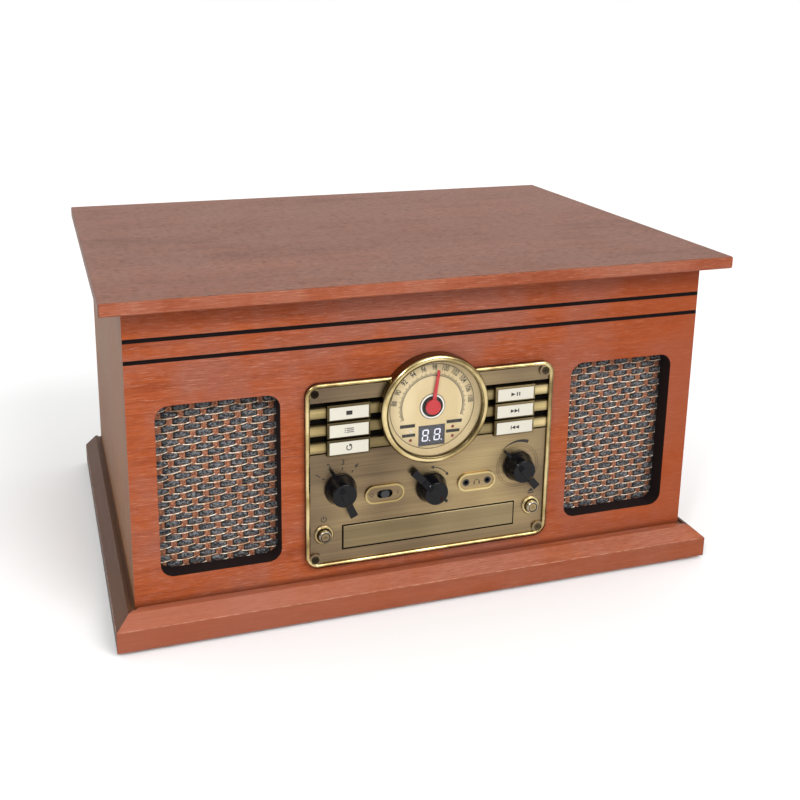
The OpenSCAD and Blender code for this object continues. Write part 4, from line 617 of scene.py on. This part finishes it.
def addFloat(bm, centre, long, tall, deep):  # one fat oval of yarn
    rings, sides = 7, 10
    rows = []
    for i in range(rings + 1):
        u = math.pi * i / rings
        swell = math.sin(u) ** 0.7
        x = -math.cos(u) * long / 2
        points = ([(x, -s * deep * swell, c * tall / 2 * swell) for c, s in around(sides)] if 0 < i < rings
                  else [(x, 0, 0)])
        rows.append([bm.verts.new(centre + Vector(point)) for point in points])
    for a, b in zip(rows, rows[1:]):
        for k in range(sides):
            n = (k + 1) % sides
            if len(a) == 1:
                bm.faces.new((a[0], b[k], b[n]))
            elif len(b) == 1:
                bm.faces.new((a[k], b[0], a[n]))
            else:
                bm.faces.new((a[k], b[k], b[n], a[n]))


def addTube(bm, points, radius, sides=6):
    rings = []
    for i, point in enumerate(points):
        ahead = (points[min(i + 1, len(points) - 1)] - points[max(i - 1, 0)]).normalized()
        side = ahead.cross(Vector((0, 1, 0))).normalized()
        up = side.cross(ahead)
        rings.append([bm.verts.new(point + radius * (side * c + up * s)) for c, s in around(sides)])
    for a, b in zip(rings, rings[1:]):
        for k in range(sides):
            n = (k + 1) % sides
            bm.faces.new((a[k], a[n], b[n], b[k]))
    bm.faces.new(rings[0])
    bm.faces.new(rings[-1])


def addStrip(bm, x, low, high, tall, phase):  # flat strip that waves over and under the wefts
    half, last = weave["stripWide"] / 2, None
    steps = 6 * round((high.z - low.z) / weave["row"])
    for s in range(steps + 1):
        z = low.z + tall * s / steps
        over = math.cos(math.pi * ((z - (low.z + high.z) / 2) / weave["row"] + phase))
        y = low.y + (0.95 + 0.45 * over) * mm
        edge = [bm.verts.new((x + side * half, y + (0.28 if side else -0.12) * mm, z)) for side in (-1, 0, 1)]
        if last:
            bm.faces.new((last[0], last[1], edge[1], edge[0]))
            bm.faces.new((last[1], last[2], edge[2], edge[1]))
        last = edge


def smile(x, y, z, room):  # pale thread that sags below a weft and dives at both ends
    points, reach, tilt = [], min(weave["smileHalf"], room - 0.3 * mm), rng.uniform(0.3, 0.8) * mm
    for s in range(15):
        u = s / 7 - 1
        points.append(Vector((x + u * reach, y + (0.35 + 1.3 * abs(u) ** 5) * mm,
                              z + (-2.75 + 0.75 * u * u) * mm + tilt * u)))
    return points


def yarn(name, dark, light, scale, rough=0.85):
    shop = Shop(name)
    twist = shop.noise(shop.stretched((scale, scale, scale * 1.6)), detail=4, roughness=0.7)
    base = shop.ramp(twist, [(0.45, dark), (0.60, light)])
    return shop.finish(base, rough, shop.bump(twist, 0.0004, 0.9), Sheen_Weight=0.15)


weftYarn = yarn("weftYarn", (0.002, 0.002, 0.003), (0.165, 0.165, 0.175), 520)
warpYarn = yarn("warpYarn", (0.12, 0.032, 0.012), (0.44, 0.17, 0.08), 700)
paleThread = yarn("paleThread", (0.42, 0.24, 0.13), (0.95, 0.86, 0.72), 420)
clothBack = yarn("clothBack", (0.005, 0.004, 0.004), (0.018, 0.014, 0.012), 800)


def weaveCloth(name, side):
    low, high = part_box("grille_cloths")
    middle = Vector((side * (high.x - weave["paneWide"] / 2), low.y, (low.z + high.z) / 2))
    halfX, halfZ = weave["paneWide"] / 2 - weave["edge"], (high.z - low.z) / 2 - weave["edge"]
    floats, strips, threads, back = bmesh.new(), bmesh.new(), bmesh.new(), bmesh.new()
    bmesh.ops.create_cube(back, size=1, matrix=Matrix.Translation(middle + Vector((0, weave["backDeep"], 0))) @
                          Matrix.Diagonal((2 * halfX, weave["backThick"], 2 * halfZ, 1)))
    rowCount = int(halfZ / weave["row"])
    for j in range(-rowCount, rowCount + 1):
        z = middle.z + j * weave["row"]
        shift = weave["strip"] * (j % 2)
        for i in range(-4, 5):
            x = i * 2 * weave["strip"] + shift
            if abs(x) > halfX - 2 * mm:
                continue
            long = min(weave["floatLong"], 2 * (halfX - abs(x)))
            up = rng.uniform(-1, 1) * weave["uneven"]
            addFloat(floats, Vector((middle.x + x, low.y + 1.0 * mm, z + up)),
                     long * rng.uniform(0.90, 1.0), weave["floatTall"] * rng.uniform(0.88, 1.03), weave["floatDeep"])
            if abs(z - middle.z) < halfZ - 3.2 * mm:
                addTube(threads, smile(middle.x + x, low.y, z, halfX - abs(x)), weave["threadRadius"])
    for i in range(-6, 7):
        if abs(i * weave["strip"]) < halfX - 2.2 * mm:
            addStrip(strips, middle.x + i * weave["strip"], low, high, 2 * halfZ, i)
    cloth = newPiece(name + "Cloth", back, clothBack)
    yarns = [newPiece(name + "Wefts", floats, weftYarn, smooth=True),
             newPiece(name + "Warps", strips, warpYarn, smooth=True),
             newPiece(name + "Threads", threads, paleThread, smooth=True)]
    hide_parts("grille_cloths")


weaveCloth("left", -1)
weaveCloth("right", 1)
print("cloth done")


# Printed marks: thin plates of ink, drawn as outlines of (x, z) points on a face that looks to the front
ink = plastic("ink", plastics["ink"])
paleInk = plastic("paleInk", plastics["paleInk"])
printThick = 0.04 * mm


def flatShape(bm, outline, y):
    front = [bm.verts.new((x, y - printThick, z)) for x, z in outline]
    back = [bm.verts.new((x, y, z)) for x, z in outline]
    bm.faces.new(front)
    bm.faces.new(back[::-1])
    for k in range(len(outline)):
        n = (k + 1) % len(outline)
        bm.faces.new((front[k], back[k], back[n], front[n]))


def box2(bm, middle, y, x, z, w, h, turn=0):  # bar of w by h mm, x and z mm from the middle
    t = math.radians(turn)
    corners = [(x + a * w / 2, z + b * h / 2) for a, b in ((-1, -1), (1, -1), (1, 1), (-1, 1))]
    flatShape(bm, [(middle.x + (u * math.cos(t) + v * math.sin(t)) * mm,
                    middle.z + (v * math.cos(t) - u * math.sin(t)) * mm) for u, v in corners], y)


def ringPart(bm, middle, y, inner, outer, start=0, end=360, steps=48, grow=1.0):  # angles clockwise from the top
    for s in range(steps):
        a, b = [start + (end - start) * t / steps for t in (s, s + 1)]
        wideA, wideB = [(outer - inner) * (1 + (grow - 1) * t / steps) for t in (s, s + 1)]
        points = ((inner, a), (inner + wideA, a), (inner + wideB, b), (inner, b))
        flatShape(bm, [(middle.x + r * mm * math.sin(math.radians(t)), middle.z + r * mm * math.cos(math.radians(t)))
                       for r, t in points], y)


def polygon2(bm, middle, y, points):
    flatShape(bm, [(middle.x + x * mm, middle.z + z * mm) for x, z in points], y)


def printedText(name, words, size, place, turn, material, slot, flat=False, narrow=1.0, bold=0.0):
    curve = bpy.data.curves.new(name, "FONT")
    curve.body, curve.size, curve.align_x, curve.align_y = words, size, "CENTER", "CENTER"
    curve.extrude, curve.offset = printThick / 2, bold
    curve.resolution_u = 3
    source = bpy.data.objects.new(name + "Curve", curve)
    mesh = bpy.data.meshes.new_from_object(source)
    bpy.data.objects.remove(source)
    upright = Matrix.Identity(4) if flat else Matrix.Rotation(math.radians(90), 4, "X")
    turned = Matrix.Rotation(math.radians(turn), 4, "Z" if flat else "Y")
    mesh.transform(Matrix.Translation(place) @ turned @ upright @ Matrix.Diagonal((narrow, 1, 1, 1)))
    return placed(name, mesh, material)


def ringNumber(name, number, size, middle, ring, turn, y, **shape):  # number on a ring, ring in millimetres
    t = math.radians(turn)
    place = (middle.x + ring * mm * math.sin(t), y - printThick / 2, middle.z + ring * mm * math.cos(t))
    printedText(name, str(number), size, place, turn, ink, "black_matte", **shape)


# Dial print, in millimetres from the dial's centre
dial = {"faceUp": 1.6, "numberRing": 30.6, "numberSize": 6.2 * mm, "narrow": 0.66, "bold": 0.10 * mm,
        "outerLine": (33.4, 33.85), "innerLine": (24.0, 24.35, -112, 110),
        "degreesPerUnit": 8.2, "middle": 98, "lean": 2, "first": 88, "last": 108,
        "tickStep": 2.04, "ticks": 109, "tickFrom": 24.0, "tickWide": 0.44, "tickTall": (3.0, 2.0, 2.0, 2.0),
        "labels": ((-19.5, -13.9, 12, 2.7), (-18.5, -21.4, 10.6, 2.5), (18, -13.8, 12.4, 2.7), (17, -21.4, 11, 2.5))}


def dialPrint():
    face = frontY - dial["faceUp"] * mm
    bm = bmesh.new()
    ringPart(bm, dialMid, face, *dial["outerLine"], steps=96)
    ringPart(bm, dialMid, face, *dial["innerLine"], steps=64)
    for k in range(dial["ticks"]):
        tall = dial["tickTall"][k % 4]
        turn = dial["tickStep"] * (k - (dial["ticks"] - 1) / 2)
        box2(bm, dialMid, face, 0, dial["tickFrom"] + tall / 2, dial["tickWide"], tall, turn)
    for x, z, w, h in dial["labels"]:
        box2(bm, dialMid, face, x, z, w, h)
    newPiece("dialMarks", bm, ink)
    for number in range(dial["first"], dial["last"] + 1, 2):
        turn = (number - dial["middle"]) * dial["degreesPerUnit"] + dial["lean"]
        ringNumber("dialNumber%d" % number, number, dial["numberSize"], dialMid, dial["numberRing"], turn, face,
                   narrow=dial["narrow"], bold=dial["bold"])


# Display digits, in millimetres from the dial's centre
digits = {"faceUp": 1.0, "middles": (-4.9, 4.6), "down": 23.2, "wide": 5.2, "high": 9.6, "bar": 1.05, "slant": 0.09,
          "point": 0.55, "pointAside": 0.9, "pointUp": 0.4}


def displayDigits():  # two plain eights with their points
    face = frontY - digits["faceUp"] * mm
    segments = bmesh.new()
    w, h, bar, lean, down = [digits[key] for key in ("wide", "high", "bar", "slant", "down")]
    for middle in digits["middles"]:
        for level in (-1, 0, 1):
            z = level * (h - bar) / 2
            polygon2(segments, dialMid, face, [
                (middle + x + lean * (z + dz), z + dz - down)
                for x, dz in ((-w / 2 + bar, -bar / 2), (w / 2 - bar, -bar / 2), (w / 2 - 0.6 * bar, 0),
                              (w / 2 - bar, bar / 2), (-w / 2 + bar, bar / 2), (-w / 2 + 0.6 * bar, 0))])
        for side in (-1, 1):
            for half in (-1, 1):
                x = side * (w - bar) / 2
                top, low = [half * h / 4 + end * (h / 4 - 0.85 * bar) for end in (1, -1)]
                polygon2(segments, dialMid, face, [
                    (middle + x + dx + lean * z, z - down)
                    for dx, z in ((-bar / 2, low), (0, low - bar / 3), (bar / 2, low), (bar / 2, top),
                                  (0, top + bar / 3), (-bar / 2, top))])
        point = Vector((middle + w / 2 + digits["pointAside"], 0, -down - h / 2 + digits["pointUp"]))
        ringPart(segments, dialMid + point * mm, face, 0, digits["point"], steps=10)
    newPiece("displaySegments", segments, plastic("paleSegments", plastics["digit"]))


dialPrint()
displayDigits()


# Symbols on the keys, in millimetres from a key's centre, drawn wider and taller by symbolScale
symbolScale = (1.3, 1.15)


def playShape(x, reach=2.7, half=1.35):
    return [(x, -half), (x + reach, 0), (x, half)]


symbols = {
    "stop": [[(-1.8, -1.4), (1.8, -1.4), (1.8, 1.4), (-1.8, 1.4)]],
    "play": [playShape(-3.0), [(0.5, -1.3), (1.2, -1.3), (1.2, 1.3), (0.5, 1.3)],
             [(2.0, -1.3), (2.7, -1.3), (2.7, 1.3), (2.0, 1.3)]],
    "next": [playShape(-2.9, 2.4), playShape(-0.5, 2.4), [(1.9, -1.35), (2.5, -1.35), (2.5, 1.35), (1.9, 1.35)]],
    "program": [[(x, z - 0.28), (x + w, z - 0.28), (x + w, z + 0.28), (x, z + 0.28)]
                for z in (-1.25, 0, 1.25) for x, w in ((-2.7, 0.6), (-1.5, 4.2))],
    "repeat": [[(0.1, 2.7), (0.1, 0.7), (1.9, 1.7)]],
}
symbols["previous"] = [[(-x, z) for x, z in shape] for shape in symbols["next"]]
repeatRing = (1.6, 2.3, 15, 330)  # radii, and the angles where it starts and ends


def keySymbols():
    for name, shapes in symbols.items():
        middle, face = middleOf(name + "_key"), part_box(name + "_key")[0].y
        bm = bmesh.new()
        for shape in shapes:
            polygon2(bm, middle, face, [(symbolScale[0] * x, symbolScale[1] * z) for x, z in shape])
        if name == "repeat":
            ringPart(bm, middle, face, *repeatRing, steps=24)
        newPiece(name + "Symbol", bm, ink, body=name)


keySymbols()


# Plain scales round the knobs and marks beside the buttons, switch and sockets, in millimetres and degrees
scales = {"functionAt": (-72, 0, 99.5), "volumeAt": (72, 0, 99.5), "fieldUp": 2.5, "plateUp": 3.7,
          "functionTurns": (-54, -24, 6, 36), "tickAt": 15.9, "tick": (0.9, 2.2), "numberRing": 20.9,
          "numberSize": 6.2 * mm, "wedge": (19.4, 19.8, -38, 24), "wedgeGrow": 7, "arc": (15.5, 16.2, 8, 52),
          "arrow": ((0, -1.5), (2.8, 0), (0, 1.5)), "aboveButton": 12.2, "besideSwitch": 10.4}


def knobScales(bm, field):  # four numbers, a growing wedge, and an arc with an arrow at each end
    function, volume = [Vector(scales[which]) * mm for which in ("functionAt", "volumeAt")]
    for k, turn in enumerate(scales["functionTurns"]):
        box2(bm, function, field, 0, scales["tickAt"], *scales["tick"], turn)
        ringNumber("functionNumber%d" % (k + 1), k + 1, scales["numberSize"], function, scales["numberRing"], turn,
                   field, narrow=0.8, bold=0.12 * mm)
    ringPart(bm, volume, field, *scales["wedge"], steps=30, grow=scales["wedgeGrow"])
    tuning = middleOf("tuning_shaft")
    inner, outer, start, end = scales["arc"]
    ringPart(bm, tuning, field, inner, outer, start, end, steps=16)
    for turn, tip in ((start, -1), (end, 1)):
        t, reach = math.radians(turn), (inner + outer) / 2
        polygon2(bm, tuning, field, [((reach + b) * math.sin(t) + a * tip * math.cos(t),
                                      (reach + b) * math.cos(t) - a * tip * math.sin(t)) for a, b in scales["arrow"]])


def panelMarks():  # power, eject, bar and ring, and a headphone, each a few strokes
    field, plate = [frontY - scales[which] * mm for which in ("fieldUp", "plateUp")]
    bm = bmesh.new()
    knobScales(bm, field)
    above, beside = Vector((0, 0, scales["aboveButton"])) * mm, scales["besideSwitch"]
    power = middleOf("left_button") + above
    ringPart(bm, power, field, 1.7, 2.35, 32, 328, steps=24)
    box2(bm, power, field, 0, 1.5, 0.65, 2.8)
    eject = middleOf("right_button") + above
    polygon2(bm, eject, field, [(-2.7, -0.5), (2.7, -0.5), (0, 2.3)])
    box2(bm, eject, field, 0, -1.8, 5.4, 0.9)
    switch = middleOf("switch_slider")
    box2(bm, switch, plate, beside, 0, 0.55, 3.2)
    ringPart(bm, switch - Vector((beside, 0, 0)) * mm, plate, 1.05, 1.55, steps=20)
    sockets = middleOf("front_sockets")
    ringPart(bm, sockets - Vector((0, 0, 0.4)) * mm, plate, 1.9, 2.35, -90, 90, steps=20)
    for side in (-1, 1):
        box2(bm, sockets, plate, side * 2.1, -1.3, 1.0, 1.9)
    newPiece("panelMarks", bm, ink)


panelMarks()
print("prints done")


# Speed numbers beside the lever on the deck
speeds = {"numbers": ("33", "45", "78"), "size": 5.5 * mm, "aside": 9.5 * mm, "step": 8 * mm,
          "underPlatter": 0.5 * mm, "proud": 0.03 * mm}


def deckNumbers():
    x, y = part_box("speed_lever")[0].x - speeds["aside"], middleOf("speed_lever").y
    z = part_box("platter")[0].z - speeds["underPlatter"] + speeds["proud"]
    for k, words in enumerate(speeds["numbers"]):
        printedText("speed" + words, words, speeds["size"], (x, y + k * speeds["step"], z), 0, paleInk,
                    "pale_plastic", flat=True)


deckNumbers()


# Camera at the photograph's place: focal length and middle in pixels of a square picture, and its three directions
lens = {"place": (-277.04 * mm, frontY - 694.0 * mm, 448.94 * mm), "focal": 1060.66, "side": 800,
        "middle": (359.2, 272.7), "sensor": 36, "near": 0.01, "far": 2500,
        "right": (0.95394, -0.299926, 0.006483), "up": (0.068238, 0.237978, 0.96887),
        "back": (-0.292133, -0.923802, 0.247483)}


def photoCamera():
    data = bpy.data.cameras.new("photoCamera")
    data.sensor_width = lens["sensor"]
    data.lens = lens["focal"] / lens["side"] * lens["sensor"]
    data.shift_x = (lens["side"] / 2 - lens["middle"][0]) / lens["side"]
    data.shift_y = (lens["middle"][1] - lens["side"] / 2) / lens["side"]
    data.clip_start, data.clip_end = lens["near"], lens["far"]
    camera = bpy.data.objects.new("photoCamera", data)
    turned = Matrix([lens[way] for way in ("right", "up", "back")]).transposed().to_4x4()
    camera.matrix_world = Matrix.Translation(lens["place"]) @ turned
    bpy.context.scene.collection.objects.link(camera)
    bpy.context.scene.camera = camera


photoCamera()

# Studio: wide pale floor, bright surround, one soft sun from the front right, a small lamp at the left for highlights
studio = {"floor": 0.87, "floorMottle": 0.03, "floorRough": 0.7, "floorHalf": 600, "surround": 1.0,
          "sun": 1.85, "sunFrom": (0.36, -0.74, 0.57), "sunAngle": 34, "glint": 8.0, "glintWide": 0.20,
          "glintFrom": (-0.9, -1.3, 1.25), "glintAim": (0, -0.15, 0.12),
          "frontDim": 0.12, "dimAhead": (-0.70, -0.10), "dimUp": (0.15, 0.60)}


def addFloor():
    bm = bmesh.new()
    bmesh.ops.create_grid(bm, x_segments=1, y_segments=1, size=studio["floorHalf"])
    mesh = bpy.data.meshes.new("studioFloor")
    bm.to_mesh(mesh)
    bm.free()
    shop = Shop("studioFloorPaint")
    mottle = shop.noise(shop.place(), 3, detail=3)
    pale = studio["floor"]
    shop.finish(shop.blend(mottle, (pale,) * 3, (pale + studio["floorMottle"],) * 3), studio["floorRough"])
    mesh.materials.append(shop.material)
    floor = bpy.data.objects.new("studioFloor", mesh)
    bpy.context.scene.collection.objects.link(floor)


def aimed(name, data, place, aim):
    lamp = bpy.data.objects.new(name, data)
    lamp.location = place
    lamp.rotation_euler = (Vector(aim) - Vector(place)).to_track_quat("-Z", "Y").to_euler()
    bpy.context.scene.collection.objects.link(lamp)


def addLights():
    sun = bpy.data.lights.new("softSun", "SUN")
    sun.energy, sun.angle = studio["sun"], math.radians(studio["sunAngle"])
    aimed("softSun", sun, studio["sunFrom"], (0, 0, 0))
    glint = bpy.data.lights.new("glintLamp", "AREA")
    glint.size, glint.energy = studio["glintWide"], studio["glint"]
    aimed("glintLamp", glint, studio["glintFrom"], studio["glintAim"])
    world = Shop("studioWorld", "worlds", "Background")  # bright all round, dimmer low down in front
    way = [world.node("ShaderNodeSeparateXYZ", sockets={0: world.node("ShaderNodeTexCoord")}, out=i) for i in (1, 2)]
    dim = world.spread(way[0], *studio["dimAhead"], 1, 0) * world.spread(way[1], *studio["dimUp"], 1, 0)
    world.feed(world.shader.inputs["Color"], (studio["surround"],) * 3)
    dusk = world.node("ShaderNodeBackground", sockets={"Color": (studio["frontDim"],) * 3})
    mixed = world.node("ShaderNodeMixShader", sockets={0: dim, 1: Wire(world, world.shader.outputs[0]), 2: dusk})
    world.feed(world.tree.nodes["World Output"].inputs[0], mixed)
    bpy.context.scene.world = world.material


addFloor()
addLights()
bpy.context.scene.view_settings.view_transform = "Standard"
print("studio done")
